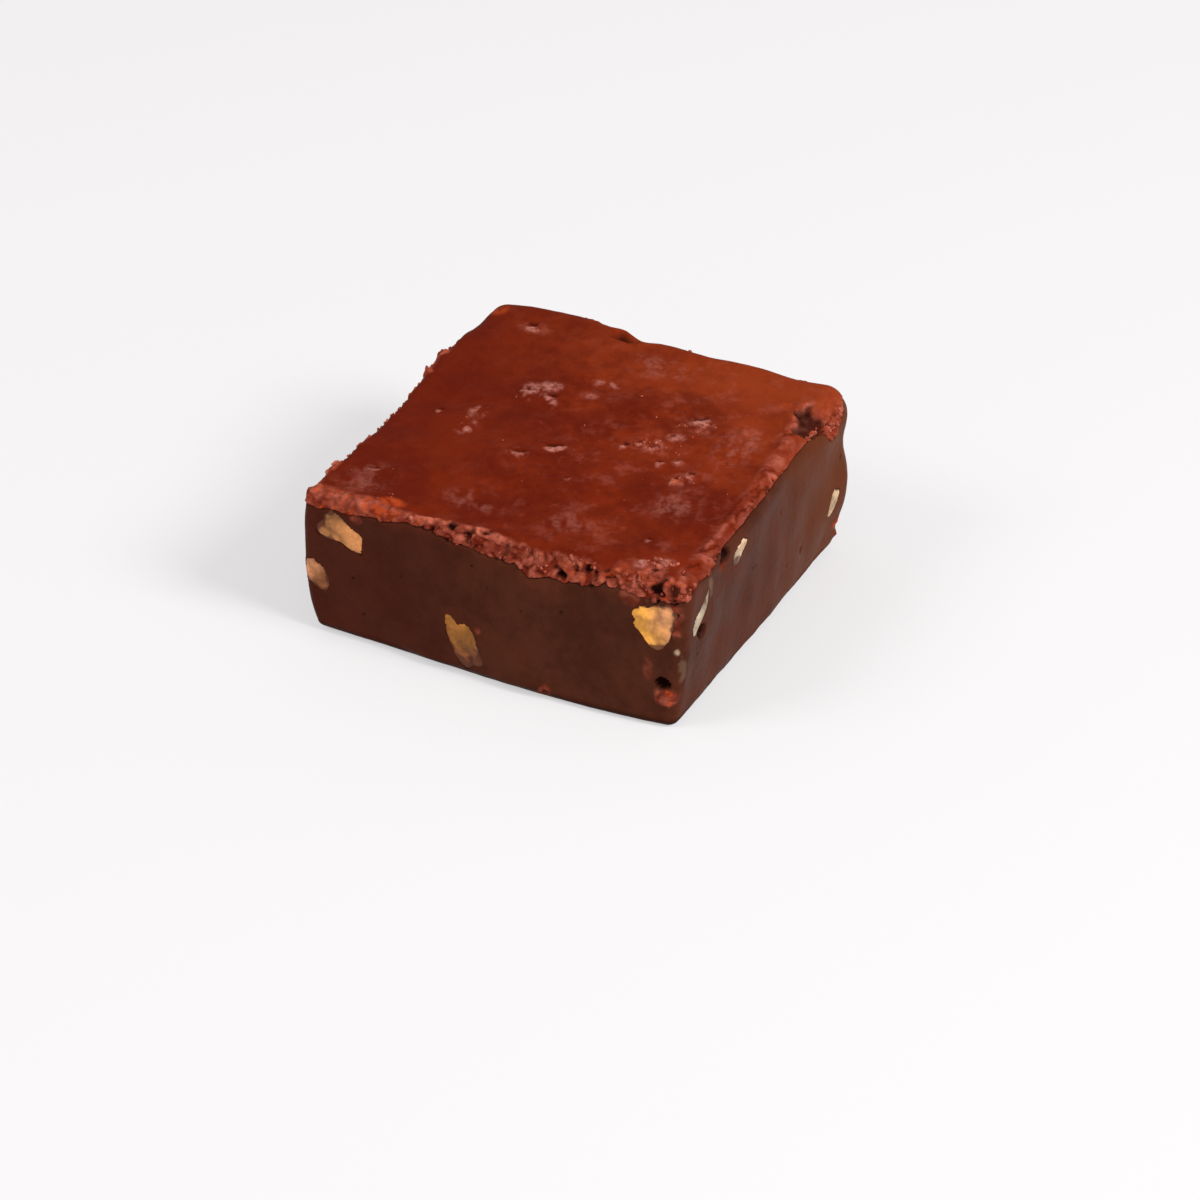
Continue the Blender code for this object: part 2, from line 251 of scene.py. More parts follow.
def uncut_block(u, v, w):
    """The block's surface over the cube point (u, v, w), and its normal.

    The cube point is pulled in to a box a radius smaller, then pushed out by that radius, which
    rounds the edges. It is carried to the real corners by blending them, foot to rim, and then
    moved by the uneven crumb, the broken front edge, the step in the back edge and the leaning
    sides.
    """
    foot = between_corners(FOOT_RADIUS, u, v)
    radius = foot + (between_corners(RIM_RADIUS, u, v) - foot) * (1.0 + w) / 2.0
    straight = np.stack((u, v, w), axis=-1) * HALF
    inner = np.clip(straight, radius[..., None] - HALF, HALF - radius[..., None])
    normal = straight - inner
    normal = normal / np.linalg.norm(normal, axis=-1, keepdims=True)
    place = (inner + normal * radius[..., None]) / HALF
    across, along, up = place[..., 0], place[..., 1], (1.0 + place[..., 2]) / 2.0

    x = between_corners(FOOT_X, across, along) * (1.0 - up) + between_corners(RIM_X, across, along) * up
    y = between_corners(FOOT_Y, across, along) * (1.0 - up) + between_corners(RIM_Y, across, along) * up
    rim = between_corners(RIM_Z, across, along)
    z = rim * up
    points = np.stack((x, y, z), axis=-1)
    off_table = smooth_step(-0.2, 0.3, normal[..., 2] + smooth_step(0.0, 4.0, z))
    rough = unevenness(points) * off_table

    at_back = smooth_step(0.80, 1.0, along) * smooth_step(0.3, 0.9, up)
    left_of_step = 1.0 - smooth_step(STEP_LEFT_X, STEP_RIGHT_X, x)
    step = (left_of_step - 0.5) * at_back * (1.0 - smooth_step(0.75, 1.0, np.abs(across)))
    crown = hump(CROWN_MIDDLE_X, CROWN_HALF_LENGTH, x) * at_back
    tuck = TUCK_IN * (1.0 - smooth_step(0.0, TUCK_HEIGHT, z)) * smooth_step(-0.85, -1.0, across)
    swell = SWELL_OUT * hump(SWELL_HEIGHT, SWELL_HALF_HEIGHT, z)
    swell = swell * smooth_step(0.5, 1.0, across) * smooth_step(0.5, 1.0, along)
    left_wave = LEFT_WAVE_HEIGHT * np.cos(2.0 * math.pi * (y - LEFT_WAVE_CREST_Y) / LEFT_WAVE_LENGTH)
    left_wave = left_wave + LEFT_FULLNESS * hump(LEFT_FULLEST_HEIGHT, LEFT_FULLEST_HEIGHT, z)
    left_wave = left_wave * smooth_step(-0.6, -1.0, across)
    fullness = FRONT_FULLNESS * (1.0 - across**2) * (1.0 + FRONT_FULLNESS_LEAN * across)
    fullness = fullness * (1.0 - up) * smooth_step(-0.6, -1.0, along)

    broken = hump(BREAK_MIDDLE_X, BREAK_HALF_LENGTH, x)
    break_height = BREAK_HEIGHT_ENDS + (BREAK_HEIGHT_MIDDLE - BREAK_HEIGHT_ENDS) * broken
    break_depth = BREAK_SET_BACK * (0.4 + 0.6 * broken) * smooth_step(rim - break_height, rim, z)
    set_back = break_depth * smooth_step(-0.86, -0.97, along)

    points = points + normal * rough[..., None]
    points[..., 0] += tuck + swell - left_wave
    points[..., 1] += set_back + STEP_OUT * step + CROWN_OUT * crown + 0.5 * swell - fullness
    points[..., 2] += STEP_RISE * step + CROWN_RISE * crown
    return points, normal


def solid_middle():
    """How far the formula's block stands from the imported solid: the shift between their boxes."""
    across = np.sin(0.5 * math.pi * np.linspace(-1.0, 1.0, SOLID_ACROSS))
    upward = np.sin(0.5 * math.pi * np.linspace(-1.0, 1.0, SOLID_UP))
    cube = np.stack(np.meshgrid(across, across, upward), axis=-1).reshape(-1, 3)
    cube = cube[np.abs(cube).max(axis=1) > 1.0 - 1e-9]
    points, _ = uncut_block(cube[:, 0], cube[:, 1], cube[:, 2])
    low, high = points.min(axis=0), points.max(axis=0)
    solid_low, solid_high = (np.array(corner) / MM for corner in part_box("brownie_body"))
    shift = (solid_low + solid_high - low - high) / 2.0
    shift[2] = solid_low[2] - low[2]
    return shift


BLOCK_SHIFT = solid_middle()


def block(u, v, w):
    """The uncut block's surface and normals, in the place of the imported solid."""
    points, normals = uncut_block(*np.broadcast_arrays(u, v, w))
    return points + BLOCK_SHIFT, normals


def perimeter(turn):
    """(u, v) round the block's outline from the front left corner: each side counts 1 turn."""
    turn = np.mod(turn, 4.0)
    u = np.interp(turn, (0, 1, 2, 3, 4), (-1, 1, 1, -1, -1))
    v = np.interp(turn, (0, 1, 2, 3, 4), (-1, -1, 1, 1, -1))
    return u, v


def rim_height(turn):
    """The rim's height above the table round the block."""
    return between_corners(RIM_Z, *perimeter(turn))


# The sides: outward direction, turn at the middle and length. The last one is the front left edge.
SIDES = {
    "front": ((0.0, -1.0), 0.5, 74.0),
    "right": ((1.0, 0.0), 1.5, 70.0),
    "back": ((0.0, 1.0), 2.5, 72.0),
    "left": ((-1.0, 0.0), 3.5, 70.0),
    "front_left": ((-math.sqrt(0.5), -math.sqrt(0.5)), 0.0, 54.0),
}
EDGE_PLACE = np.array((RIM_X[0], RIM_Y[0]))


def side_directions(side):
    """The outward and the sideways direction of a side, and where its places are measured from."""
    outward = np.array((*SIDES[side][0], 0.0))
    sideways = np.array((-outward[1], outward[0], 0.0))
    start = EDGE_PLACE @ sideways[:2] if side == "front_left" else 0.0
    return outward, sideways, start


def on_side(side, right, above):
    """The block's surface at places along a side and heights above the table.

    It starts at the side's middle and is corrected by what is missing, until nothing is.
    """
    outward, sideways, start = side_directions(side)
    _, middle_turn, length = SIDES[side]
    turn = np.full(np.shape(right), middle_turn)
    w = np.zeros(np.shape(right))
    for _ in range(PLACE_ROUNDS):
        points, _ = block(*perimeter(turn), w)
        turn = turn + (right - (points @ sideways - start)) / length
        w = np.clip(w + (above - points[..., 2]) / HALF[2], -1.0, 1.0)
    return points, outward


def cell_number(cells, seed):
    """A repeatable number from 0 to 1 for each cell of a lattice, its three indices mixed by bits."""
    x, y, z = (cells[..., axis] for axis in range(3))
    mixed = (x * 73856093) ^ (y * 19349663) ^ (z * 83492791) ^ (seed * 40503)
    mixed = ((mixed ^ (mixed >> 13)) * 1274126177) & 0xFFFFFFFF
    mixed = ((mixed ^ (mixed >> 15)) * 2246822519) & 0xFFFFFFFF
    return ((mixed ^ (mixed >> 16)) & 0xFFFF) / 65535.0


# The lattice is turned askew, so that no row of lumps lines up with a side of the block.
ASKEW = np.array(((0.36, 0.48, -0.80), (-0.80, 0.60, 0.0), (0.48, 0.64, 0.60)))


def lumps(points, size, seed):
    """Soft lumps from -1 to 1: numbers at a lattice's corners, blended by 3t^2 - 2t^3 each way."""
    place = points @ ASKEW / size
    cells = np.floor(place).astype(np.int64)
    share = place - cells
    share = share * share * (3.0 - 2.0 * share)
    total = np.zeros(points.shape[:-1])
    for corner in itertools.product((0, 1), repeat=3):
        weight = np.prod(np.where(np.array(corner) == 1, share, 1.0 - share), axis=-1)
        total += weight * cell_number(cells + np.array(corner), seed)
    return 2.0 * total - 1.0


def bend(points, size, seed):
    """A shift for each point, each way by a set of soft lumps of its own."""
    return np.stack([lumps(points, size, seed + axis) for axis in range(3)], axis=-1)


def pebbles(points, size, seed):
    """Distance to the nearest of many strewn centres, in sizes, and that centre's own number."""
    place = points @ ASKEW / size
    cells = np.floor(place).astype(np.int64)
    nearest = np.full(points.shape[:-1], np.inf)
    number = np.zeros(points.shape[:-1])
    for step in itertools.product((-1, 0, 1), repeat=3):
        near = cells + np.array(step)
        centre = near + np.stack([cell_number(near, seed + axis) for axis in range(3)], axis=-1)
        distance = np.linalg.norm(place - centre, axis=-1)
        closer = distance < nearest
        nearest = np.where(closer, distance, nearest)
        number = np.where(closer, cell_number(near, seed + 3), number)
    return nearest, number


def torn_crumb(points, seed):
    """Torn crumb: its height in millimetres, and how bright and how deep in a gap it is, 0 to 1.

    Clumps fall away from strewn centres, each by its own number. Over them lie creased lumps, whose
    height is a soft lump's own size without its sign. Both are read at points bent by more lumps, so
    that no clump is round. Gaps open where a third set of lumps is high.
    """
    bent = points + 0.62 * bend(points, 1.6, seed)
    clump, number = pebbles(bent, 1.6, seed + 3)
    creased = np.abs(lumps(bent, 1.15, seed + 7))
    small = np.abs(lumps(bent, 0.52, seed + 8))
    gap = smooth_step(0.44, 0.74, lumps(bent, 2.0, seed + 9))
    height = 0.66 * (0.50 - clump) * (0.5 + number) + 0.62 * (creased - 0.30) + 0.22 * (small - 0.30)
    # Higher clumps are painted brighter, as light on their tops; the gap share later paints shade.
    bright = np.clip(0.30 + 0.75 * height + 0.55 * (number - 0.5), 0.0, 1.0)
    return height - 0.75 * gap, bright, np.clip(gap + smooth_step(-0.16, -0.50, height), 0.0, 1.0)


# The holes: middle, then half lengths each way. The first two make the torn shoulder, and the last
# is a dent in the step of the back edge.
HOLES = (
    ((33.4, 21.6, 32.0), (3.6, 5.8, 4.0)),
    ((36.2, 25.4, 29.4), (2.4, 2.0, 2.6)),
    ((32.9, -35.2, 9.2), (1.5, 2.0, 1.3)),
    ((36.3, -28.2, 17.0), (1.3, 1.4, 1.3)),
    ((36.7, -19.2, 27.2), (1.5, 1.6, 1.3)),
    ((36.0, 15.4, 8.2), (1.1, 0.9, 0.9)),
    ((-8.2, 32.6, 32.0), (3.5, 1.6, 2.0)),
)
SHOULDER_HOLES = 2
SHOULDER_DEPTH = 2.4
PIT_FLATNESS = 0.85
# Crumb left standing in the torn shoulder: middle, half lengths, and how much of the depth it fills.
FILLINGS = (
    ((34.6, 26.6, 31.6), (4.0, 3.6, 4.0), 0.72),
    ((37.4, 26.0, 29.6), (2.4, 2.8, 3.6), 0.60),
    ((29.4, 18.6, 31.8), (3.2, 5.4, 4.0), 0.95),
    ((33.6, 15.6, 31.0), (2.2, 2.4, 3.0), 0.60),
)
# Small pits: side, place along it, height and how far the pit reaches.
PITS = (
    ("front", -5.3, 27.2, 0.95),
    ("front", -5.0, 26.2, 0.80),
    ("front", -20.1, 27.1, 0.55),
    ("front", -8.8, 25.9, 0.50),
    ("front", 13.4, 24.6, 0.70),
    ("front", 15.3, 26.6, 0.60),
    ("front", 19.2, 26.0, 0.70),
    ("front", 18.8, 24.7, 0.70),
    ("front", 31.6, 25.7, 0.75),
    ("front", 34.8, 25.9, 0.90),
    ("front", 34.2, 27.6, 1.20),
    ("right", -33.0, 27.9, 1.00),
    ("front", -27.4, 12.9, 0.34),
    ("front", -17.8, 16.1, 0.30),
    ("front", -25.3, 6.1, 0.36),
    ("front", -0.6, 18.8, 0.26),
    ("front", 6.0, 16.4, 0.28),
    ("right", -6.0, 17.5, 0.30),
    ("right", 4.4, 22.4, 0.34),
    ("back", -14.0, 21.0, 0.60),
    ("back", 12.0, 17.0, 0.40),
    ("left", 6.0, 18.0, 0.45),
    ("left", -21.0, 24.0, 0.40),
)
# Patches of open crumb: side, place along it, height, half lengths along and up, how far the crumb
# stands out, how orange it is, and how plainly it shows.
OPEN_PLACES = (
    ("front", 33.2, 6.3, 2.1, 1.8, 0.55, 1.0, 1.0),
    ("front", 30.0, 11.2, 1.0, 2.4, 0.00, 0.2, 0.35),
    ("front", 10.9, 1.7, 1.0, 1.5, 0.10, 0.4, 0.70),
    ("front", 34.8, 22.4, 1.6, 3.8, 0.05, 0.7, 0.60),
    ("front", -26.4, 25.2, 1.5, 0.9, 0.00, 0.9, 0.60),
    ("front", 27.2, 25.0, 2.6, 1.4, 0.10, 0.1, 0.50),
    ("front", -2.1, 10.3, 0.6, 0.7, 0.00, 0.4, 0.50),
    ("right", 29.4, 6.4, 1.3, 1.2, 0.25, 0.9, 0.9),
    ("right", 31.0, 3.2, 1.6, 1.6, 0.45, 0.4, 1.0),
    ("right", -20.8, 26.3, 1.3, 1.2, 0.15, 0.8, 0.9),
    ("back", -8.0, 10.0, 1.9, 1.6, 0.15, 0.5, 0.55),
    ("back", 27.0, 7.0, 1.4, 1.2, 0.25, 0.7, 0.70),
    ("left", -4.0, 8.0, 1.7, 1.4, 0.20, 0.6, 0.60),
    ("left", 26.0, 23.0, 1.1, 1.0, 0.10, 0.5, 0.50),
)
# Specks and smears of nut on the cut faces: middle, half lengths each way and strength.
NUT_SPECKS = (
    ((35.3, -34.6, 16.0), (0.46, 0.9, 0.66), 0.70),
    ((36.0, -33.8, 12.6), (0.80, 0.9, 3.20), 0.10),
    ((36.6, -25.4, 24.6), (0.90, 0.9, 2.80), 0.12),
)


def egg_distance(points, middle, half):
    """Distance from an egg's middle in its own half lengths: 1 on its surface."""
    return np.linalg.norm((points - np.array(middle)) / np.array(half), axis=-1)


def hollow_depth(points, normals, middle, half, ragged):
    """How deep an egg-shaped hollow lies under a point, straight in from the surface.

    With q the point in the egg's own units, which are ragged, and n the way in, it is the far root d
    of |q + d n| = 1.
    """
    reach = np.array(half) * ragged[..., None]
    start = (points - np.array(middle)) / reach
    inward = -normals / reach
    a = (inward**2).sum(axis=-1)
    b = (start * inward).sum(axis=-1)
    c = (start**2).sum(axis=-1) - 1.0
    root = np.sqrt(np.maximum(b * b - a * c, 0.0))
    return np.where(c < 0.0, (root - b) / a, 0.0)


def hollows(points, normals):
    """The deepest of all holes and pits under each point, less the crumb left standing in them.

    The torn shoulder levels off: its depth d is the limit times 1 - exp(-d / limit).
    """
    depth = np.zeros(points.shape[:-1])
    ragged = 1.0 + 0.15 * lumps(points, 1.6, 71) + 0.03 * lumps(points, 0.6, 72)
    for middle, half in HOLES[:SHOULDER_HOLES]:
        depth = np.maximum(depth, hollow_depth(points, normals, middle, half, ragged))
    depth = SHOULDER_DEPTH * (1.0 - np.exp(-depth / SHOULDER_DEPTH))
    for middle, half in HOLES[SHOULDER_HOLES:]:
        depth = np.maximum(depth, hollow_depth(points, normals, middle, half, ragged))
    uneven = 0.25 * lumps(points, 1.7, 77)
    for middle, half, filled in FILLINGS:
        away = egg_distance(points, middle, half) + uneven
        depth = depth * (1.0 - filled * smooth_step(1.0, 0.45, away))
    for side, place, up, reach in PITS:
        middle, _ = on_side(side, np.array(place), np.array(up))
        half = (reach, reach, PIT_FLATNESS * reach)
        depth = np.maximum(depth, hollow_depth(points, normals, middle, half, ragged))
    return depth


def open_crumb(points):
    """How open the crumb is at a point from 0 to 1, how far it stands out, and how orange it is."""
    ragged = 0.30 * lumps(points, 1.5, 73) + 0.14 * lumps(points, 0.6, 74)
    share = np.zeros(points.shape[:-1])
    out = np.zeros(points.shape[:-1])
    orange = np.zeros(points.shape[:-1])
    for side, place, up, half_along, half_up, stand, ember, plain in OPEN_PLACES:
        middle, _ = on_side(side, np.array(place), np.array(up))
        away = egg_distance(points, middle, (half_along, half_along, half_up)) + ragged
        near = smooth_step(1.25, 0.60, away)
        share = np.maximum(share, plain * near)
        out = np.maximum(out, stand * near)
        orange = np.maximum(orange, ember * near)
    return share, out, orange


def nut_specks(points):
    """How plainly specks and smears of nut show at a point, from 0 to 1."""
    share = np.zeros(points.shape[:-1])
    ragged = 0.45 * lumps(points, 0.7, 75)
    for middle, half, strength in NUT_SPECKS:
        away = egg_distance(points, middle, half) + ragged
        share = np.maximum(share, strength * smooth_step(1.15, 0.45, away))
    return share


# The walnut pieces: side, place along it, height, length, width, turn, depth and the lobes of the
# outline, as (count, share of the radius, angle of the first crest).
WALNUTS = {
    "walnut_front_upper_left": (
        "front", -29.7, 21.8, 9.8, 5.5, -24, 3.6, ((3, 0.15, -8), (4, 0.08, -43), (5, 0.06, 35))
    ),
    "walnut_front_left_edge": ("front_left", 1.0, 11.6, 6.4, 4.2, -72, 3.0, ((3, 0.12, 21), (4, 0.04, 6))),
    "walnut_front_lower_middle": (
        "front", -5.0, 6.9, 11.0, 5.8, -59, 3.8, ((3, 0.06, -46), (4, 0.09, 24), (5, 0.06, -34))
    ),
    "walnut_front_upper_right": ("front", 31.2, 20.7, 9.2, 8.0, 74, 3.6, ((3, 0.18, -31),)),
    "walnut_right_near": ("right", -28.8, 20.5, 9.0, 2.6, 50, 3.0, ((3, 0.08, 0), (4, 0.03, 27))),
    "walnut_right_upper": ("right", -14.4, 25.3, 5.8, 3.0, 32, 3.0, ((3, 0.10, -36), (4, 0.08, -41))),
    "walnut_right_far": ("right", 26.7, 12.2, 5.8, 2.9, 68, 2.6, ((3, 0.09, 59), (4, 0.04, 41))),
    "walnut_back_right": ("back", -21.0, 16.4, 9.6, 6.0, 25, 3.6, ((3, 0.14, 40), (5, 0.07, 100))),
    "walnut_back_middle": ("back", 5.0, 9.4, 7.6, 4.6, -50, 3.2, ((3, 0.12, 200), (4, 0.08, 30))),
    "walnut_back_left": ("back", 23.5, 20.2, 10.4, 4.6, -15, 3.4, ((2, 0.06, 50), (3, 0.12, 120))),
    "walnut_left_back": ("left", -19.0, 12.4, 8.6, 5.4, 40, 3.4, ((3, 0.13, 10), (5, 0.06, 60))),
    "walnut_left_front": ("left", 12.0, 19.0, 7.8, 4.2, -30, 3.2, ((3, 0.15, 80), (2, 0.05, 20))),
}


# A place faces a side when its normal has this share of the side's direction, and any other place is
# far off. A nut's pocket is a little less deep than its bowl.
FACES_SIDE = 0.4
FAR_OFF = 9.0
POCKET_DEPTH = 1.3


def outline(lobes, angle):
    """A nut's radius at an angle, as a share of its mean: 1 plus a cosine wave for each lobe."""
    radius = np.ones(np.shape(angle))
    for count, share, crest in lobes:
        radius = radius + share * np.cos(count * (angle - math.radians(crest)))
    return radius


def inside_nut(nut, points, normals):
    """Distance from a nut's middle in radii of its outline: 1 on the outline, far off its side."""
    side, place, up, length, width, turn, _, lobes = nut
    outward, sideways, start = side_directions(side)
    right = points @ sideways - start - place
    above = points[..., 2] - up
    turn = math.radians(turn)
    lengthways = (right * math.cos(turn) + above * math.sin(turn)) / (length / 2.0)
    widthways = (above * math.cos(turn) - right * math.sin(turn)) / (width / 2.0)
    radii = np.hypot(lengthways, widthways) / outline(lobes, np.arctan2(widthways, lengthways))
    return np.where(normals @ outward > FACES_SIDE, radii, FAR_OFF)


def crust_drop(turn):
    """How far the baked crust reaches down from the rim: each side's formula, blended at corners."""
    u, v = perimeter(turn)
    rim, _ = block(u, v, np.ones_like(u))
    x, y = rim[..., 0], rim[..., 1]
    front = 1.7 + 0.6 * hump(-28.0, 4.0, x) + 1.7 * smooth_step(-16.0, -2.0, x)
    front = front + 1.8 * hump(11.0, 17.0, x) + 1.0 * hump(-37.0, 8.0, x)
    right = 0.6 + 1.1 * smooth_step(-19.0, -24.0, y) + 5.0 * hump(26.0, 7.5, y)
    back = 1.2 + 0.8 * hump(-4.0, 8.0, x)
    left = 1.3 + 0.5 * hump(-20.0, 12.0, y)
    weights = (
        smooth_step(-0.93, -1.0, v),
        smooth_step(0.93, 1.0, u),
        smooth_step(0.93, 1.0, v),
        smooth_step(-0.93, -1.0, u),
    )
    drop = sum(weight * side for weight, side in zip(weights, (front, right, back, left)))
    drop = drop / sum(weights)
    flat = rim * np.array((1.0, 1.0, 0.0))
    torn = 0.60 * lumps(flat, 3.1, 11) + 0.40 * lumps(flat, 1.4, 12) + 0.22 * lumps(flat, 0.7, 13)
    return np.maximum(drop + torn * (0.40 + 0.16 * drop), 0.45)


def broad_relief(points):
    """The cut face's softer lumps, which the walnut pieces' cut faces share."""
    return 0.10 * lumps(points, 5.2, 22) + 0.045 * lumps(points, 2.1, 23)


def fudge_relief(points, normals):
    """The cut face's fine relief in millimetres, and what shows there, each from 0 to 1.

    It adds faint upright knife streaks, three sizes of soft lumps and strewn pores, patches of torn
    crumb, less the holes and the pockets in which the walnut pieces lie.
    """
    streaks = lumps(points * np.array((1.0, 1.0, 0.09)), 0.85, 21)
    relief = 0.020 * streaks + broad_relief(points) + 0.016 * lumps(points, 0.8, 24)
    distance, number = pebbles(points, 3.2, 25)
    pore_size = 0.05 + 0.09 * smooth_step(0.7, 1.0, number)
    pore = smooth_step(pore_size, 0.4 * pore_size, distance) * (number > 0.7)
    relief -= 0.28 * pore
    torn, bright, gap = torn_crumb(points, 81)
    opened, out, orange = open_crumb(points)
    relief += opened * (0.8 * torn - 0.1) + out
    depth = hollows(points, normals)
    relief = relief * smooth_step(0.0, 0.9, points[..., 2]) - depth
    # Painted shade: the hollow mask darkens pores, holes and the gaps in open crumb.
    hollow = np.max((0.8 * pore, smooth_step(0.0, 0.7, depth), 0.85 * gap * opened), axis=0)
    edge = 0.92 + 0.12 * lumps(points, 1.6, 26) + 0.09 * lumps(points, 0.7, 27)
    for nut in WALNUTS.values():
        radii = inside_nut(nut, points, normals)
        sunk = smooth_step(edge, edge - 0.09, radii)
        lip = hump(edge + 0.05, 0.14, radii)
        relief = relief * (1.0 - sunk) - POCKET_DEPTH * sunk + 0.07 * lip
    speck = nut_specks(points)
    relief += 0.15 * smooth_step(0.5, 1.0, speck)
    return relief, {"hollow": hollow, "open": opened, "bright": bright, "ember": orange, "speck": speck}


def closed_skin(name, rows, low_pole, high_pole):
    """A closed mesh from rings of points, each joined to the next, with a pole below and above."""
    ring_count, column_count = rows.shape[:2]
    vertices = np.concatenate((rows.reshape(-1, 3), [low_pole, high_pole])) * MM
    number = np.arange(ring_count * column_count).reshape(ring_count, column_count)
    after = np.roll(number, -1, axis=1)
    quads = np.stack((number[:-1], after[:-1], after[1:], number[1:]), axis=-1).reshape(-1, 4)
    low = np.full(column_count, len(vertices) - 2)
    high = np.full(column_count, len(vertices) - 1)
    below = np.stack((low, after[0], number[0]), axis=-1)
    above = np.stack((high, number[-1], after[-1]), axis=-1)
    mesh = bpy.data.meshes.new(name)
    mesh.from_pydata(vertices.tolist(), [], quads.tolist() + below.tolist() + above.tolist())
    mesh.shade_smooth()
    return mesh


def give_values(mesh, name, values):
    """Writes one number for each vertex into an attribute, with 0 for what is left over."""
    filled = np.zeros(len(mesh.vertices), np.float32)
    filled[: values.size] = values.ravel()
    mesh.attributes.new(name, "FLOAT", "POINT").data.foreach_set("value", filled)


def inner_rings(edge_ring, levels):
    """Hidden rings that close a skin inside the block: (share of the edge's place, height) each."""
    rings = []
    for share, height in levels:
        ring = edge_ring * share
        ring[:, 2] = height
        rings.append(ring)
    return np.stack(rings)


# How far the block's skin goes on under the crust, and the height at which it is closed inside.
HIDDEN_OVERLAP = 1.2
SKIN_CLOSES_AT = 17.0
turns = np.arange(COLUMNS) * 4.0 / COLUMNS
around_u, around_v = perimeter(turns)
crust_foot_w = 1.0 - 2.0 * crust_drop(turns) / rim_height(turns)
skin_top_w = crust_foot_w + 2.0 * HIDDEN_OVERLAP / rim_height(turns)

foot_scale = np.array((0.2, 0.45, 0.7, 0.85, 0.91, 0.94, 0.955, 0.968, 0.979, 0.989))[:, None]
foot_rows, foot_normals = block(foot_scale * around_u, foot_scale * around_v, -1.0)
side_share = np.linspace(0.0, 1.0, SIDE_ROWS)[:, None]
side_w = -1.0 + side_share * (skin_top_w + 1.0)
side_rows, side_normals = block(around_u[None, :], around_v[None, :], side_w)
skin_rows = np.concatenate((foot_rows, side_rows))
skin_normals = np.concatenate((foot_normals, side_normals))
relief, skin_values = fudge_relief(skin_rows, skin_normals)
above_crust_foot = (side_w - crust_foot_w) * rim_height(turns) / 2.0
under_crust = np.zeros(relief.shape)
under_crust[len(foot_rows) :] = 0.8 * smooth_step(0.0, 0.7, above_crust_foot)
skin_rows = skin_rows + skin_normals * (relief - under_crust)[..., None]
skin_rows[..., 2] = np.maximum(skin_rows[..., 2], 0.0)
hidden = inner_rings(skin_rows[-1], ((0.93, SKIN_CLOSES_AT), (0.45, SKIN_CLOSES_AT)))
skin_rows = np.concatenate((skin_rows, hidden))
fudge_mesh = closed_skin("fudge_block", skin_rows, (0, 0, 0), (0, 0, SKIN_CLOSES_AT))
for name, values in skin_values.items():
    give_values(fudge_mesh, name, values)
fudge_block = link_object("fudge_block", fudge_mesh)

# Its finish: dark moist fudge, drifting a little in tone, with a painted contact shadow at the foot.
FUDGE_DARK = (0.052, 0.0124, 0.0054, 1.0)
FUDGE_LIGHT = (0.080, 0.0200, 0.0094, 1.0)
FUDGE_PAINTED_LIGHT = (0.124, 0.0310, 0.0085, 1.0)
FUDGE_LEFT_DARK = (0.050, 0.0060, 0.0028, 1.0)
FUDGE_FOOT_SHADOW = (0.013, 0.0022, 0.0011, 1.0)
NUT_SPECK = (0.560, 0.410, 0.260, 1.0)
HOLLOW_SHADE = (0.012, 0.0018, 0.0008, 1.0)
CRUMB_DARK = (0.125, 0.0135, 0.0055, 1.0)
CRUMB_DRIED_AND_LIT = (0.500, 0.1280, 0.0780, 1.0)
CRUMB_ORANGE = (0.430, 0.0560, 0.0120, 1.0)


def mix_colour(tree, share, first, second, mode="MIX"):
    """Mixes a share of the second colour into the first, each given or linked; returns the output."""
    sockets = {0: share, 6: first, 7: second}
    return node(tree, "ShaderNodeMix", sockets, data_type="RGBA", blend_type=mode).outputs[2]


def spread(tree, value, low, high, to_low=0.0, to_high=1.0):
    """Spreads a value between two limits over a new range, smoothly; returns the output."""
    sockets = {"Value": value, "From Min": low, "From Max": high, "To Min": to_low, "To Max": to_high}
    return node(tree, "ShaderNodeMapRange", sockets, interpolation_type="SMOOTHSTEP").outputs["Result"]


def noise(tree, place, scale, detail=3.0, roughness=0.55):
    """A noise pattern on a place; returns its value. The scale is in lumps for each metre."""
    sockets = {"Vector": place, "Scale": scale, "Detail": detail, "Roughness": roughness}
    return node(tree, "ShaderNodeTexNoise", sockets).outputs["Fac"]


def arithmetic(tree, operation, first, second):
    """One Math node on two values, each given or linked; returns its output."""
    return node(tree, "ShaderNodeMath", {0: first, 1: second}, operation=operation).outputs[0]


def vertex_value(tree, name):
    """A number that the mesh carries at each vertex."""
    return node(tree, "ShaderNodeAttribute", attribute_name=name).outputs["Fac"]


def new_group(name, inputs, outputs):
    """A shader node group with named sockets, its input and output nodes ready to wire."""
    tree = bpy.data.node_groups.new(name, "ShaderNodeTree")
    for socket, kind in inputs:
        tree.interface.new_socket(socket, in_out="INPUT", socket_type=kind)
    for socket, kind in outputs:
        tree.interface.new_socket(socket, in_out="OUTPUT", socket_type=kind)
    return tree, tree.nodes.new("NodeGroupInput").outputs, tree.nodes.new("NodeGroupOutput").inputs


def use_group(tree, group, sockets):
    """Places a node group in a tree and fills its inputs; returns its outputs."""
    return node(tree, "ShaderNodeGroup", sockets, node_tree=group).outputs


def object_place(tree):
    """Each point's place in the object's own space, in metres."""
    return node(tree, "ShaderNodeTexCoord").outputs["Object"]


def bumped(tree, height, strength, distance):
    """The normal of a surface with fine relief; the distance is in metres."""
    sockets = {"Height": height, "Strength": strength, "Distance": distance}
    return node(tree, "ShaderNodeBump", sockets).outputs["Normal"]


COLOUR = "NodeSocketColor"
VALUE = "NodeSocketFloat"
VECTOR = "NodeSocketVector"

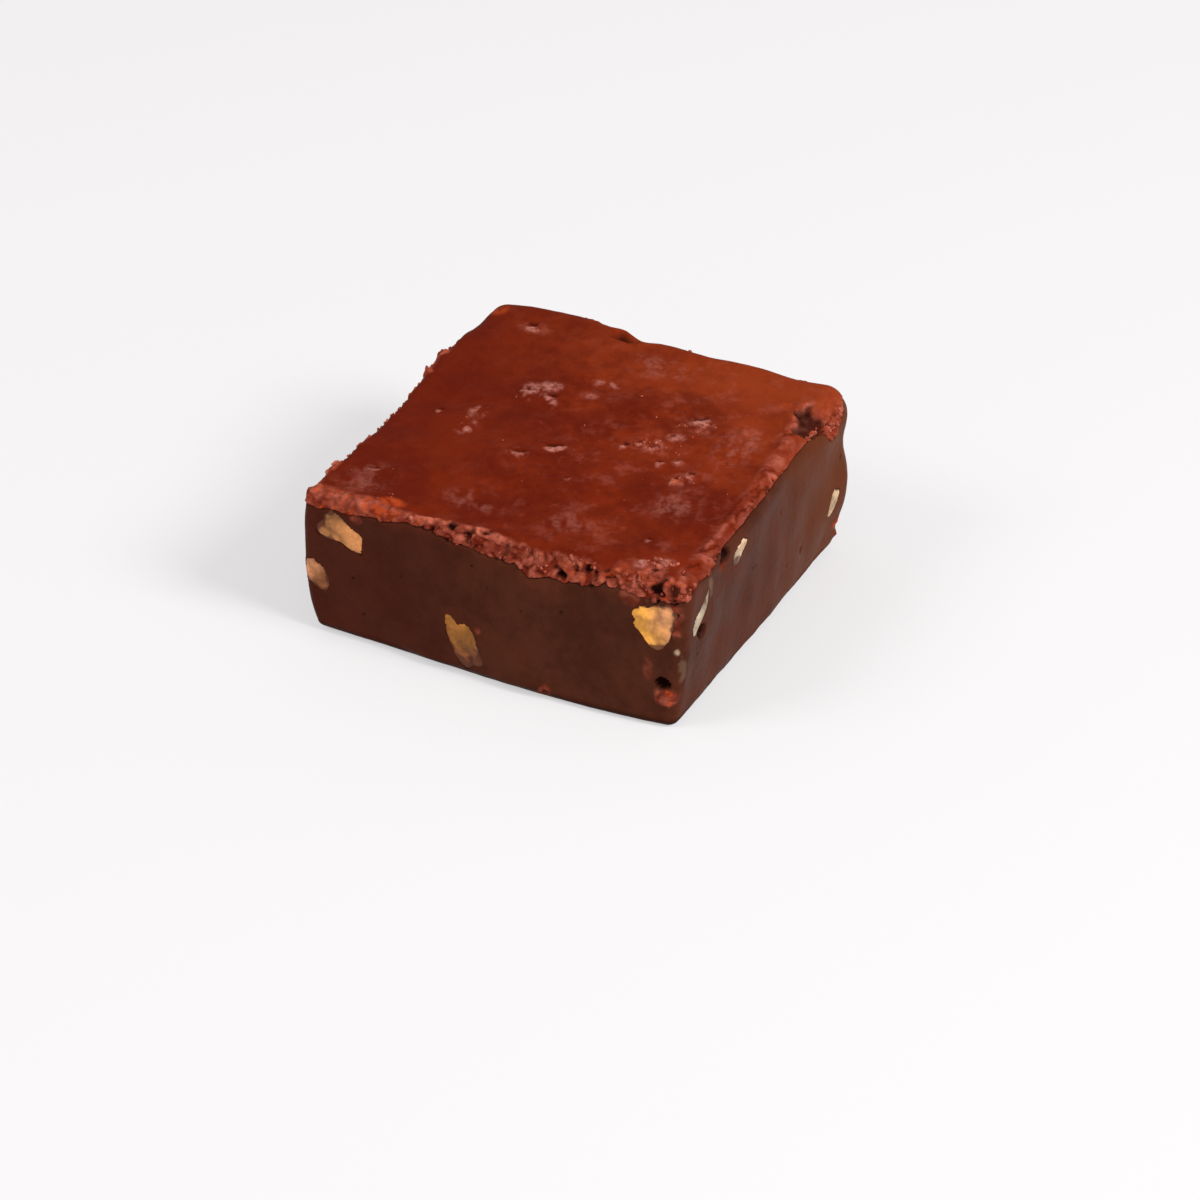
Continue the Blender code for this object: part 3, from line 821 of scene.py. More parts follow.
# Crumb grain: the open structure of moist crumb, as soft grains with gaps between them.
crumb_grain, grain_in, grain_out = new_group(
    "crumb grain", (("Place", VECTOR), ("Grain Scale", VALUE)), (("Height", VALUE),)
)
grain_cells = node(
    crumb_grain,
    "ShaderNodeTexVoronoi",
    {"Vector": grain_in["Place"], "Scale": grain_in["Grain Scale"], "Randomness": 1.0},
    feature="SMOOTH_F1",
)
grain_fine = noise(crumb_grain, grain_in["Place"], 3400.0, 2.0)
grain_gap = spread(crumb_grain, grain_cells.outputs["Distance"], 0.35, 0.75)
grain_height = arithmetic(crumb_grain, "SUBTRACT", grain_fine, grain_gap)
crumb_grain.links.new(grain_height, grain_out["Height"])

# Mottle: how the colour of baked or cut chocolate crumb drifts over centimetres and millimetres.
mottle, mottle_in, mottle_out = new_group(
    "chocolate mottle",
    (("Place", VECTOR), ("Dark", COLOUR), ("Light", COLOUR)),
    (("Colour", COLOUR), ("Patch", VALUE)),
)
broad = arithmetic(mottle, "MULTIPLY", noise(mottle, mottle_in["Place"], 85.0, 3.0), 0.62)
small = arithmetic(mottle, "MULTIPLY", noise(mottle, mottle_in["Place"], 420.0, 4.0, 0.6), 0.38)
patch = spread(mottle, arithmetic(mottle, "ADD", broad, small), 0.36, 0.64)
mottle.links.new(mix_colour(mottle, patch, mottle_in["Dark"], mottle_in["Light"]), mottle_out["Colour"])
mottle.links.new(patch, mottle_out["Patch"])

# Torn crumb: dark between the clumps as painted shade, pinkish on the high clumps, partly dried crumb
# and partly painted highlight, and orange where it is thinnest.
torn_look, torn_in, torn_out = new_group(
    "torn crumb", (("Place", VECTOR), ("Bright", VALUE), ("Ember", VALUE)), (("Colour", COLOUR),)
)
fleck = spread(torn_look, noise(torn_look, torn_in["Place"], 750.0, 4.0, 0.6), 0.32, 0.68, 0.45, 1.25)
torn_tone = arithmetic(torn_look, "MULTIPLY", torn_in["Bright"], fleck)
torn_colour = mix_colour(torn_look, torn_tone, CRUMB_DARK, CRUMB_DRIED_AND_LIT)
glow = spread(torn_look, noise(torn_look, torn_in["Place"], 520.0, 3.0), 0.47, 0.66)
torn_ember = arithmetic(torn_look, "MULTIPLY", torn_in["Ember"], glow)
torn_look.links.new(mix_colour(torn_look, torn_ember, torn_colour, CRUMB_ORANGE), torn_out["Colour"])

fudge, tree, shader = new_material("cut_fudge")
place = object_place(tree)
tone = use_group(tree, mottle, {"Place": place, "Dark": FUDGE_DARK, "Light": FUDGE_LIGHT})
grain = use_group(tree, crumb_grain, {"Place": place, "Grain Scale": 1500.0})
torn_values = {"Place": place, "Bright": vertex_value(tree, "bright"), "Ember": vertex_value(tree, "ember")}
torn_patch = use_group(tree, torn_look, torn_values)["Colour"]
# Painted light makes the crumb lighter towards the back. It is darker towards the left, and
# a painted contact shadow darkens its foot.
apart = node(tree, "ShaderNodeSeparateXYZ", {"Vector": place}).outputs
colour = mix_colour(tree, spread(tree, apart["Y"], -0.004, 0.026, 0.0, 0.55), tone["Colour"], FUDGE_PAINTED_LIGHT)
colour = mix_colour(tree, spread(tree, apart["X"], -0.024, 0.012, 0.45, 0.0), colour, FUDGE_LEFT_DARK)
colour = mix_colour(tree, spread(tree, apart["Z"], 0.0004, 0.0024, 1.0, 0.0), colour, FUDGE_FOOT_SHADOW)
colour = mix_colour(tree, vertex_value(tree, "open"), colour, torn_patch)
colour = mix_colour(tree, vertex_value(tree, "speck"), colour, NUT_SPECK)
# Painted shade darkens the hollows.
colour = mix_colour(tree, vertex_value(tree, "hollow"), colour, HOLLOW_SHADE)
lumpy = arithmetic(tree, "MULTIPLY", noise(tree, place, 900.0, 4.0), 2.0)
height = arithmetic(tree, "ADD", grain["Height"], lumpy)
fudge_look = {
    "Base Color": colour,
    "Roughness": spread(tree, tone["Patch"], 0.0, 1.0, 0.40, 0.52),
    "Specular IOR Level": 0.030,
    "Normal": bumped(tree, height, 0.40, 0.00007),
}
fill(tree, shader, fudge_look)
fudge_mesh.materials.append(fudge)
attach(fudge_block, "root")
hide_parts("brownie_body")

# ---------------------------------------------------------------------------------------------------
# The walnut pieces: halves broken up before baking, so that the knife shows pale flesh with soft folds,
# and fudge is smeared over its edges. Each lies in its own pocket.
# ---------------------------------------------------------------------------------------------------
NUT_COLUMNS = 96
NUT_FACE_RINGS = 30
FIRST_NUT_SEED = 131
SEEDS_PER_NUT = 9
FLESH = np.array((0.60, 0.240, 0.080))
PINKISH = np.array((0.60, 0.240, 0.105))
GOLDEN = np.array((1.00, 0.440, 0.070))
TAN = np.array((0.72, 0.310, 0.125))
BRONZE = np.array((0.36, 0.120, 0.028))
OLIVE = np.array((0.42, 0.155, 0.026))
UMBER = np.array((0.240, 0.078, 0.024))
CREAM = np.array((0.60, 0.390, 0.230))
PEWTER = np.array((0.330, 0.255, 0.175))
SMEAR = np.array((0.085, 0.019, 0.009))
# Each piece: its flesh at one end and at the other, the angle from the first to the second, how
# strongly its face is folded, and how much fudge is smeared over it, most at its other end.
NUT_LOOKS = {
    "walnut_front_upper_left": (FLESH * 1.05, FLESH * 0.66, 140, 1.0, 0.25),
    "walnut_front_left_edge": (PINKISH * 1.1, UMBER * 1.3, -50, 0.8, 0.40),
    "walnut_front_lower_middle": (OLIVE * 1.1, UMBER, -75, 1.0, 0.42),
    # This piece's tan far end, to the right, is painted shade where it turns away round the corner.
    "walnut_front_upper_right": (GOLDEN, TAN, 5, 0.7, 0.24),
    "walnut_right_near": (PEWTER * 1.5, PEWTER, 80, 0.6, 0.35),
    "walnut_right_upper": (CREAM * 1.1, PEWTER * 1.1, -110, 0.7, 0.30),
    "walnut_right_far": (CREAM * 0.95, CREAM * 0.7, 180, 0.8, 0.32),
    "walnut_back_right": (FLESH, PINKISH, 20, 1.2, 0.30),
    "walnut_back_middle": (OLIVE, BRONZE, -50, 1.0, 0.40),
    "walnut_back_left": (FLESH, GOLDEN * 0.7, 0, 1.2, 0.25),
    "walnut_left_back": (CREAM * 0.85, FLESH, 40, 1.0, 0.30),
    "walnut_left_front": (PINKISH, FLESH, -30, 1.1, 0.25),
}


def nut_rows(nut, fold, seed):
    """A nut as rings: a bowl sunk in the fudge, then the cut face from its rim to its middle.

    A ring is the lobed outline times a share. The face is crowned as 1 - share squared and rises and
    falls in creased folds, whose height is a soft lump's own size without its sign.
    """
    side, place, up, length, width, turn, depth, lobes = nut
    angle = np.arange(NUT_COLUMNS) * 2.0 * math.pi / NUT_COLUMNS
    bowl_shares = np.array((0.42, 0.76, 0.93, 0.98))
    bowl_levels = np.array((-0.96, -0.75, -0.40, -0.12)) * depth
    face_shares = np.linspace(1.0, 0.05, NUT_FACE_RINGS)
    shares = np.concatenate((bowl_shares, face_shares))[:, None]
    radius = outline(lobes, angle) * shares
    lengthways = radius * np.cos(angle) * length / 2.0
    widthways = radius * np.sin(angle) * width / 2.0
    turn = math.radians(turn)
    right = place + lengthways * math.cos(turn) - widthways * math.sin(turn)
    above = up + lengthways * math.sin(turn) + widthways * math.cos(turn)
    points, outward = on_side(side, right, above)

    folds = np.abs(lumps(points + 0.7 * bend(points, 2.0, seed), 2.6, seed + 3)) - 0.35
    folded = fold * (0.42 * folds + 0.09 * lumps(points, 1.1, seed + 4))
    level = -0.04 + 0.13 * (1.0 - shares**2) - 0.10 * smooth_step(0.93, 1.0, shares)
    level = level + folded * smooth_step(1.0, 0.8, shares)
    level = level + 0.03 * lumps(points, 0.5, seed + 5) + broad_relief(points)
    level[: len(bowl_levels)] = bowl_levels[:, None]
    smear = 0.8 * lumps(points, 2.2, seed + 6) + 0.5 * lumps(points, 0.8, seed + 7)
    smear = smear + 2.9 * np.maximum(shares - 0.72, 0.0)
    around = np.stack((right - place, above - up), axis=-1) / max(length, width)
    return points + outward * level[..., None], folds, smear, around


nutmeat, tree, shader = new_material("nutmeat")
place = object_place(tree)
tint = node(tree, "ShaderNodeAttribute", attribute_name="tint").outputs["Color"]
speckle = spread(tree, noise(tree, place, 1100.0, 4.0, 0.65), 0.35, 0.70, 0.82, 1.10)
streak = spread(tree, noise(tree, place, 330.0, 3.0), 0.35, 0.65, 0.90, 1.06)
shade = arithmetic(tree, "MULTIPLY", speckle, streak)
shade_colour = node(tree, "ShaderNodeCombineColor", {"Red": shade, "Green": shade, "Blue": shade})
colour = mix_colour(tree, 1.0, tint, shade_colour.outputs["Color"], "MULTIPLY")
grain = use_group(tree, crumb_grain, {"Place": place, "Grain Scale": 1900.0})
normal = bumped(tree, grain["Height"], 0.4, 0.00006)
nut_look = {"Base Color": colour, "Roughness": 0.40, "Specular IOR Level": 0.13, "Normal": normal}
fill(tree, shader, nut_look)

for number, (name, nut) in enumerate(WALNUTS.items()):
    near_flesh, far_flesh, flesh_turn, fold, smeared = NUT_LOOKS[name]
    seed = FIRST_NUT_SEED + SEEDS_PER_NUT * number
    rows, folds, smear, around = nut_rows(nut, fold, seed)
    mesh = closed_skin(name + "_cut", rows, rows[0].mean(axis=0), rows[-1].mean(axis=0))
    flesh_turn = math.radians(flesh_turn)
    flesh_way = np.array((math.cos(flesh_turn), math.sin(flesh_turn)))
    far = smooth_step(-0.25, 0.25, around @ flesh_way + 0.16 * lumps(rows, 2.1, seed + 8))
    bare = 0.80 - 0.8 * smeared
    covered = smooth_step(bare - 0.20, bare + 0.26, smear + 1.3 * around @ flesh_way)
    flesh = near_flesh + (far_flesh - near_flesh) * far[..., None]
    # Painted light and shade: the flesh is lighter on the crests of the folds and darker in the creases.
    flesh = flesh * (0.66 + 0.90 * np.clip(folds + 0.32, 0.0, 0.6))[..., None]
    tints = np.ones((len(mesh.vertices), 4), np.float32)
    tints[: covered.size, :3] = (flesh + (SMEAR - flesh) * (0.85 * covered)[..., None]).reshape(-1, 3)
    tints[covered.size :, :3] = flesh[-1, 0]
    mesh.attributes.new("tint", "FLOAT_COLOR", "POINT").data.foreach_set("color", tints.ravel())
    mesh.materials.append(nutmeat)
    piece = link_object(name + "_cut", mesh)
    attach(piece, "root")
    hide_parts(name)

# ---------------------------------------------------------------------------------------------------
# The baked crust: a thin matt skin over the top that baking dried. It crumbles where the knife broke
# it, in a tall ragged band along the front, and is torn open at the back right shoulder.
# ---------------------------------------------------------------------------------------------------
BAND_ROWS = 32
# How far the crust stands proud of the block, and how far its foot is tucked in under the skin.
BAND_PROUD = 0.16
BAND_TUCK = 0.75
CRUST_CLOSES_AT = 19.0
# Where the broken bands begin in front, on the left and at the back, where the torn shoulder begins,
# and where the ridge runs: its X in front, how far it drifts to the left, and its half width.
FRONT_BAND_Y = -32.5
LEFT_BAND_X = -35.0
BACK_BAND_Y = 34.8
SHOULDER_X = 26.0
SHOULDER_Y = 12.0
RIDGE_X = 35.0
RIDGE_DRIFT = 3.6
RIDGE_HALF_WIDTH = 2.6
# Patches on the top: middle, half lengths along X and Y, and the strength of what shows there.
CRUMBLY_PATCHES = (
    (31.8, -31.4, 5.6, 4.4, 1.0),
    (12.4, 2.4, 7.5, 2.4, 0.55),
    (16.6, 10.5, 5.5, 2.2, 0.55),
    (21.2, -5.4, 2.6, 3.0, 0.50),
    (27.0, 12.0, 5.0, 4.0, 0.25),
    (-31.0, -29.0, 6.0, 6.0, 0.30),
    (-24.5, 28.5, 4.5, 2.5, 0.45),
)
PALE_FLAKE_AND_SHEEN_PATCHES = (
    (-15.6, 9.2, 3.2, 3.6, 1.0),
    (-12.6, 12.0, 2.8, 2.4, 0.9),
    (-9.8, 7.4, 1.2, 2.0, 0.8),
    (-20.6, -5.4, 2.4, 3.0, 1.0),
    (-21.0, -0.6, 2.4, 3.2, 0.7),
    (-7.9, -9.9, 2.6, 2.0, 0.7),
    (-10.0, 0.3, 1.6, 1.4, 0.5),
    (-5.4, 12.6, 2.4, 1.4, 0.5),
    (-4.0, 17.0, 3.4, 1.8, 0.7),
    (12.0, 2.8, 2.8, 2.8, 0.8),
    (14.8, 6.4, 2.4, 1.8, 0.7),
    (17.0, 12.4, 3.2, 2.0, 0.9),
    (15.5, -1.9, 1.8, 1.6, 0.7),
    (18.4, -0.4, 1.8, 1.4, 0.6),
    (-25.3, 28.4, 2.6, 2.4, 1.0),
    (21.6, -4.6, 2.6, 2.6, 0.5),
    (9.0, -24.0, 6.0, 4.0, 0.24),
    (-8.0, -25.0, 9.0, 4.0, 0.24),
    (24.0, -12.0, 6.0, 7.0, 0.28),
    (26.0, 8.0, 5.0, 9.0, 0.26),
    (2.0, 26.0, 9.0, 5.0, 0.22),
    (-28.0, -26.0, 6.0, 6.0, 0.22),
    # The last two are painted glints by the front right corner.
    (26.6, -30.8, 1.9, 1.5, 1.0),
    (30.8, -28.8, 2.2, 1.5, 1.0),
)
ORANGE_PATCHES = (
    (28.2, 23.4, 1.7, 2.0, 0.75),
    (35.6, 19.0, 1.6, 1.5, 0.8),
    (35.8, 22.8, 1.2, 1.4, 0.6),
    (-21.0, -31.6, 3.4, 1.5, 0.85),
    (24.0, -32.4, 1.4, 1.2, 0.8),
    (20.6, -5.6, 1.3, 1.9, 0.6),
    (-33.6, 31.6, 2.4, 2.6, 0.6),
)
# Flakes that have lifted, each with a pit behind it: middle, half length and width, turn, strength.
LIFTED_FLAKES = (
    (-3.0, -6.0, 2.3, 1.0, 24, 1.0),
    (-11.4, 8.4, 1.4, 0.8, -10, 0.8),
    (-15.4, 8.6, 1.8, 0.8, 10, 0.7),
    (17.0, 12.2, 2.0, 0.9, 25, 1.0),
    (7.4, 0.3, 0.95, 0.85, 0, 1.0),
    (9.5, 2.4, 0.70, 0.60, 0, 0.8),
    (-25.3, 28.0, 1.5, 1.0, 10, 0.9),
    (12.3, 2.0, 1.0, 0.7, 30, 0.8),
    (14.8, 6.2, 0.9, 0.6, 40, 0.8),
    (15.5, -2.1, 0.9, 0.7, 10, 0.8),
    (18.4, -0.6, 0.8, 0.6, 30, 0.7),
    (20.4, -6.2, 0.75, 1.2, 5, 0.9),
    (22.2, -3.6, 0.85, 0.75, 0, 0.8),
    (-27.5, -3.1, 0.65, 0.60, 0, 0.7),
    (-7.6, -10.4, 1.6, 0.7, 15, 0.6),
    (-29.0, -24.0, 1.3, 0.45, 15, 0.5),
    (3.4, -13.2, 0.70, 0.55, 30, 0.5),
    (24.3, -24.1, 0.65, 0.60, 0, 0.6),
)
# The way back from the front, along which the baked flakes are stretched.
FLAKE_WAY = np.array((-0.452, 0.892, 0.0))
FLAKE_STRETCH = 1.8
# Crumbs pressed along the rim: side, place along it, reach and how far they stand out.
RIM_CLUMPS = (
    ("left", -14.6, 1.5, 0.75),
    ("left", -13.0, 0.9, 0.40),
    ("left", -8.5, 1.3, 0.60),
    ("left", -1.0, 0.8, 0.25),
    ("left", 6.0, 0.8, 0.20),
    ("left", 15.0, 1.0, 0.40),
    ("left", 17.2, 0.7, 0.30),
    ("left", 24.6, 1.1, 0.50),
    ("left", 26.2, 0.9, 0.45),
    ("left", 33.0, 1.0, 0.40),
    ("right", -24.0, 1.4, 0.30),
    ("right", -7.5, 1.8, 0.35),
    ("right", 2.5, 1.6, 0.35),
    ("back", -27.0, 1.4, 0.25),
    ("back", 16.0, 1.5, 0.30),
)


def patches(points, places):
    """The strongest of several soft round patches at a point: 1 - 3t^2 + 2t^3 of its distance."""
    share = np.zeros(points.shape[:-1])
    for x, y, half_x, half_y, strength in places:
        away = np.hypot((points[..., 0] - x) / half_x, (points[..., 1] - y) / half_y)
        share = np.maximum(share, strength * (1.0 - smooth_step(0.35, 1.0, away)))
    return share


def lifted_flakes(points, normals):
    """The lifted flakes and the pits behind them, each from 0 to 1: ovals on a line that curls back."""
    flake = np.zeros(points.shape[:-1])
    pit = np.zeros(points.shape[:-1])
    ragged = 0.35 * lumps(points, 0.8, 63)
    for x, y, half_length, half_width, turn, strength in LIFTED_FLAKES:
        turn = math.radians(turn)
        right, behind = points[..., 0] - x, points[..., 1] - y
        along = (right * math.cos(turn) + behind * math.sin(turn)) / half_length
        back = (behind * math.cos(turn) - right * math.sin(turn)) / half_width - 0.9 * along**2
        flake = np.maximum(flake, strength * smooth_step(1.0, 0.5, np.hypot(along, back) + ragged))
        hollow = np.hypot(along / 0.8, (back - 1.7) / 0.8) + ragged
        pit = np.maximum(pit, strength * smooth_step(1.0, 0.4, hollow))
    on_top = smooth_step(0.6, 0.9, normals[..., 2])
    return flake * on_top, pit * on_top


def rim_clumps(points):
    """How far the crumbs along the rim stand out in millimetres: each falls away as 1 - t squared."""
    out = np.zeros(points.shape[:-1])
    ragged = 0.30 * lumps(points, 0.9, 64)
    for side, along, reach, stand in RIM_CLUMPS:
        _, sideways, _ = side_directions(side)
        turn = SIDES[side][1] + along / SIDES[side][2]
        rim, _ = block(*perimeter(np.array(turn)), 1.0)
        rim = rim + sideways * (along - rim @ sideways)
        away = np.linalg.norm(points - rim, axis=-1) / reach + ragged
        out = np.maximum(out, stand * np.clip(1.0 - away**2, 0.0, 1.0))
    return out


def crust_masks(points, normals, depth):
    """What shows on the crust, each from 0 to 1.

    It is broken to torn crumb along the front, thinly along the other edges, in the torn shoulder
    and in patches; flaked pale; thickened to a lumpy ridge along the right; and orange in places.
    """
    x, y = points[..., 0], points[..., 1]
    flat = points * np.array((1.0, 1.0, 0.35))
    ragged = 0.9 * lumps(flat, 2.7, 41) + 0.45 * lumps(flat, 1.0, 42)
    front_edge = FRONT_BAND_Y + 0.9 * hump(-2.0, 15.0, x) - 0.9 * hump(19.5, 3.5, x)
    front_edge = front_edge + 0.9 * smooth_step(-22.0, -34.0, x)
    soft = 0.35 + 0.9 * smooth_step(-18.0, -30.0, x)
    front = smooth_step(soft, -0.35, y - front_edge - 0.7 * ragged)
    left = 0.90 * smooth_step(LEFT_BAND_X, LEFT_BAND_X - 1.4, x - 0.6 * ragged)
    back = 0.30 * smooth_step(BACK_BAND_Y, BACK_BAND_Y + 0.8, y + 0.6 * ragged)
    back = back * smooth_step(-20.0, -32.0, x)
    right = 0.45 * smooth_step(0.45, 0.85, normals[..., 0])
    at_shoulder = smooth_step(SHOULDER_Y, SHOULDER_Y + 2.0, y)
    at_shoulder = at_shoulder * smooth_step(SHOULDER_X, SHOULDER_X + 2.0, x)
    tear = at_shoulder * smooth_step(0.15, 0.75, depth + 0.25 * ragged)
    strewn = patches(points, CRUMBLY_PATCHES) * smooth_step(-0.35, 0.35, lumps(points, 1.7, 43))
    broken = np.max((front, left, back, right, tear, strewn), axis=0)
    way_back = (points @ FLAKE_WAY)[..., None] * FLAKE_WAY
    drawn = points - (1.0 - 1.0 / FLAKE_STRETCH) * way_back
    bent = drawn + 0.6 * bend(drawn, 1.2, 65)
    blots = smooth_step(-0.22, 0.28, 0.8 * lumps(bent, 1.3, 68) + 0.5 * lumps(bent, 0.6, 69))
    # Pale flakes: partly dried crust flakes, partly painted sheen where they catch the light.
    flake = patches(points, PALE_FLAKE_AND_SHEEN_PATCHES) * blots
    ridge_x = RIDGE_X - RIDGE_DRIFT * smooth_step(-4.0, 26.0, y)
    ridge = hump(ridge_x, RIDGE_HALF_WIDTH, x)
    ridge = ridge * smooth_step(-33.0, -28.0, y) * smooth_step(21.0, 15.0, y)
    ember = np.max(
        (
            0.75 * left,
            0.70 * front * smooth_step(-8.0, -20.0, x),
            0.45 * front * hump(22.0, 6.0, x),
            0.30 * front * smooth_step(6.0, 16.0, x),
            0.50 * front * smooth_step(28.0, 33.0, x),
            0.45 * tear * smooth_step(1.1, 0.5, depth),
            0.80 * back,
        ),
        axis=0,
    )
    orange = patches(points, ORANGE_PATCHES) * (0.35 + 0.65 * blots)
    return {"broken": broken, "flake": flake, "ridge": ridge, "ember": ember, "orange": orange}


def crust_relief(points, normals):
    """The crust's relief in millimetres and its masks.

    Whole crust is four sizes of soft lumps, with a creased ridge along the right, a lip and a dip by
    the step at the back, and lifted flakes. Broken crust is torn crumb, which lies a little lower
    than the whole crust beside it.
    """
    depth = hollows(points, normals)
    masks = crust_masks(points, normals, depth)
    broken, ridge = masks["broken"], masks["ridge"]
    whole = 0.10 * lumps(points, 7.0, 45) + 0.05 * lumps(points, 3.0, 46) + 0.025 * lumps(points, 1.3, 47)
    whole += 0.012 * lumps(points, 0.65, 48) + 0.11 * masks["flake"]
    bent = points + 0.9 * bend(points, 1.5, 75)
    folds = np.abs(lumps(bent * np.array((1.0, 0.42, 1.0)), 1.9, 78))
    uneven = 0.30 * lumps(points, 3.6, 80) + 0.10 * lumps(points, 1.0, 79)
    whole += ridge * (0.10 + 0.42 * (folds - 0.25) + uneven)
    at_back = smooth_step(31.5, 34.5, points[..., 1])
    whole += at_back * (0.45 * hump(-9.4, 3.4, points[..., 0]) - 0.35 * hump(-4.0, 3.0, points[..., 0]))
    lifted, pit = lifted_flakes(points, normals)
    whole += 0.24 * lifted - 0.50 * pit
    torn, bright, gap = torn_crumb(points - 0.7 * depth[..., None] * normals, 51)
    coarse = 0.45 + 0.40 * smooth_step(-22.0, -8.0, points[..., 0])
    crumbly = coarse * torn + 0.22 * lumps(points, 3.0, 60) - 0.04
    gap = gap * smooth_step(0.40, 0.80, coarse)
    bright = bright * (0.30 + 0.85 * coarse)
    clump = rim_clumps(points)
    broken = np.maximum(broken, smooth_step(0.05, 0.30, clump))
    relief = whole + (crumbly - whole) * broken
    relief = relief * (1.0 - 0.5 * smooth_step(0.0, 1.2, depth)) - depth + clump
    crease = ridge * smooth_step(0.07, 0.01, folds) * 0.6
    # Painted shade: the hollow mask darkens gaps in broken crust, hollows, the pits behind flakes and the
    # ridge's creases.
    hollow = np.max((gap * broken, 0.85 * smooth_step(0.4, 1.6, depth), 0.8 * pit, crease), axis=0)
    masks["broken"] = broken
    masks["flake"] = np.clip(np.maximum(masks["flake"], 1.2 * lifted), 0.0, 1.0)
    # The ridge's colour keeps to its crests, where its painted sheen lies.
    masks["ridge"] = ridge * smooth_step(0.05, 0.55, folds)
    masks["ember"] = np.maximum(masks["ember"], 0.9 * smooth_step(0.05, 0.4, clump))
    masks["hollow"] = np.clip(hollow * (1.0 - lifted), 0.0, 1.0)
    # Faces turned up are painted brighter still, as light from above.
    masks["bright"] = np.clip(bright + 0.25 * smooth_step(0.5, 0.95, normals[..., 2]), 0.0, 1.0)
    return relief, masks


def crust_surface(u, v, w, foot_w):
    """The crust's outer surface over a cube point, tucked in under the fudge's skin at its foot."""
    points, normals = block(u, v, w)
    relief, masks = crust_relief(points, normals)
    above_foot = (w - foot_w) * between_corners(RIM_Z, u, v) / 2.0
    free = smooth_step(0.0, 0.5, above_foot)
    shift = (relief + BAND_PROUD) * free - BAND_TUCK * (1.0 - free)
    return points + normals * shift[..., None], normals, masks


grid_share = np.linspace(-1.0, 1.0, COLUMNS_PER_SIDE + 1)
grid_u, grid_v = np.meshgrid(grid_share, grid_share)
top_points, _, top_masks = crust_surface(grid_u, grid_v, np.ones_like(grid_u), -1.0)
band_share = np.linspace(0.0, 1.0, BAND_ROWS + 1)[1:, None]
band_w = 1.0 - (1.0 - crust_foot_w) * band_share
band_u, band_v = np.broadcast_to(around_u, band_w.shape), np.broadcast_to(around_v, band_w.shape)
band_points, _, band_masks = crust_surface(band_u, band_v, band_w, crust_foot_w[None, :])
levels = ((0.95, CRUST_CLOSES_AT + 1.0), (0.90, CRUST_CLOSES_AT), (0.45, CRUST_CLOSES_AT))
crust_hidden = inner_rings(band_points[-1], levels)

# The grid's own border is the band's first ring, so the two meet without a seam.
last = COLUMNS_PER_SIDE
grid_number = np.arange((last + 1) ** 2).reshape(last + 1, last + 1)
border = np.concatenate(
    (
        grid_number[0, :last],
        grid_number[:last, last],
        grid_number[last, last:0:-1],
        grid_number[last:0:-1, 0],
    )
)
ring_points = np.concatenate((band_points, crust_hidden))
ring_number = grid_number.size + np.arange(ring_points.shape[0] * COLUMNS).reshape(-1, COLUMNS)
rings = np.concatenate((border[None, :], ring_number))
after = np.roll(rings, -1, axis=1)
top_quads = np.stack(
    (grid_number[:-1, :-1], grid_number[:-1, 1:], grid_number[1:, 1:], grid_number[1:, :-1]), axis=-1
)
band_quads = np.stack((rings[1:], after[1:], after[:-1], rings[:-1]), axis=-1)
pole = grid_number.size + ring_number.size
under = np.stack((np.full(COLUMNS, pole), after[-1], rings[-1]), axis=-1)
pole_place = [(0.0, 0.0, CRUST_CLOSES_AT)]
vertices = np.concatenate((top_points.reshape(-1, 3), ring_points.reshape(-1, 3), pole_place)) * MM
crust_mesh = bpy.data.meshes.new("baked_crust")
faces = top_quads.reshape(-1, 4).tolist() + band_quads.reshape(-1, 4).tolist() + under.tolist()
crust_mesh.from_pydata(vertices.tolist(), [], faces)
crust_mesh.shade_smooth()
for name, values in top_masks.items():
    give_values(crust_mesh, name, np.concatenate((values.ravel(), band_masks[name].ravel())))

CRUST_DARK = (0.106, 0.0085, 0.0021, 1.0)
CRUST_LIGHT = (0.168, 0.0165, 0.0040, 1.0)
CRUST_WARM_AND_SHEEN = (0.270, 0.0370, 0.0085, 1.0)
CRUST_RIDGE_SHEEN = (0.350, 0.0850, 0.0550, 1.0)
CRUST_SCURF = (0.300, 0.0700, 0.0450, 1.0)
PALE_FLAKE_AND_SHEEN = (0.420, 0.1500, 0.1150, 1.0)

crust, tree, shader = new_material("baked_crust")
place = object_place(tree)
mask = {name: vertex_value(tree, name) for name in top_masks}
tone = use_group(tree, mottle, {"Place": place, "Dark": CRUST_DARK, "Light": CRUST_LIGHT})
grain = use_group(tree, crumb_grain, {"Place": place, "Grain Scale": 1300.0})
# The crust is lighter towards the back right corner: partly baked colour, partly painted sheen.
toward = node(tree, "ShaderNodeVectorMath", {0: place, 1: (0.45, 0.89, 0.0)}, operation="DOT_PRODUCT")
drift = arithmetic(tree, "ADD", toward.outputs["Value"], arithmetic(tree, "MULTIPLY", tone["Patch"], 0.014))
warm_and_sheen = spread(tree, drift, 0.008, 0.052, 0.0, 0.75)
colour = mix_colour(tree, warm_and_sheen, tone["Colour"], CRUST_WARM_AND_SHEEN)
# Dried scurf, faint, and nearly none towards the left.
scurf = spread(tree, noise(tree, place, 260.0, 5.0, 0.65), 0.50, 0.70, 0.0, 0.34)
across = node(tree, "ShaderNodeSeparateXYZ", {"Vector": place}).outputs["X"]
scurf = arithmetic(tree, "MULTIPLY", scurf, spread(tree, across, -0.020, 0.010, 0.15, 1.0))
colour = mix_colour(tree, spread(tree, across, -0.032, 0.0, 0.55, 0.0), colour, CRUST_DARK)
colour = mix_colour(tree, scurf, colour, CRUST_SCURF)
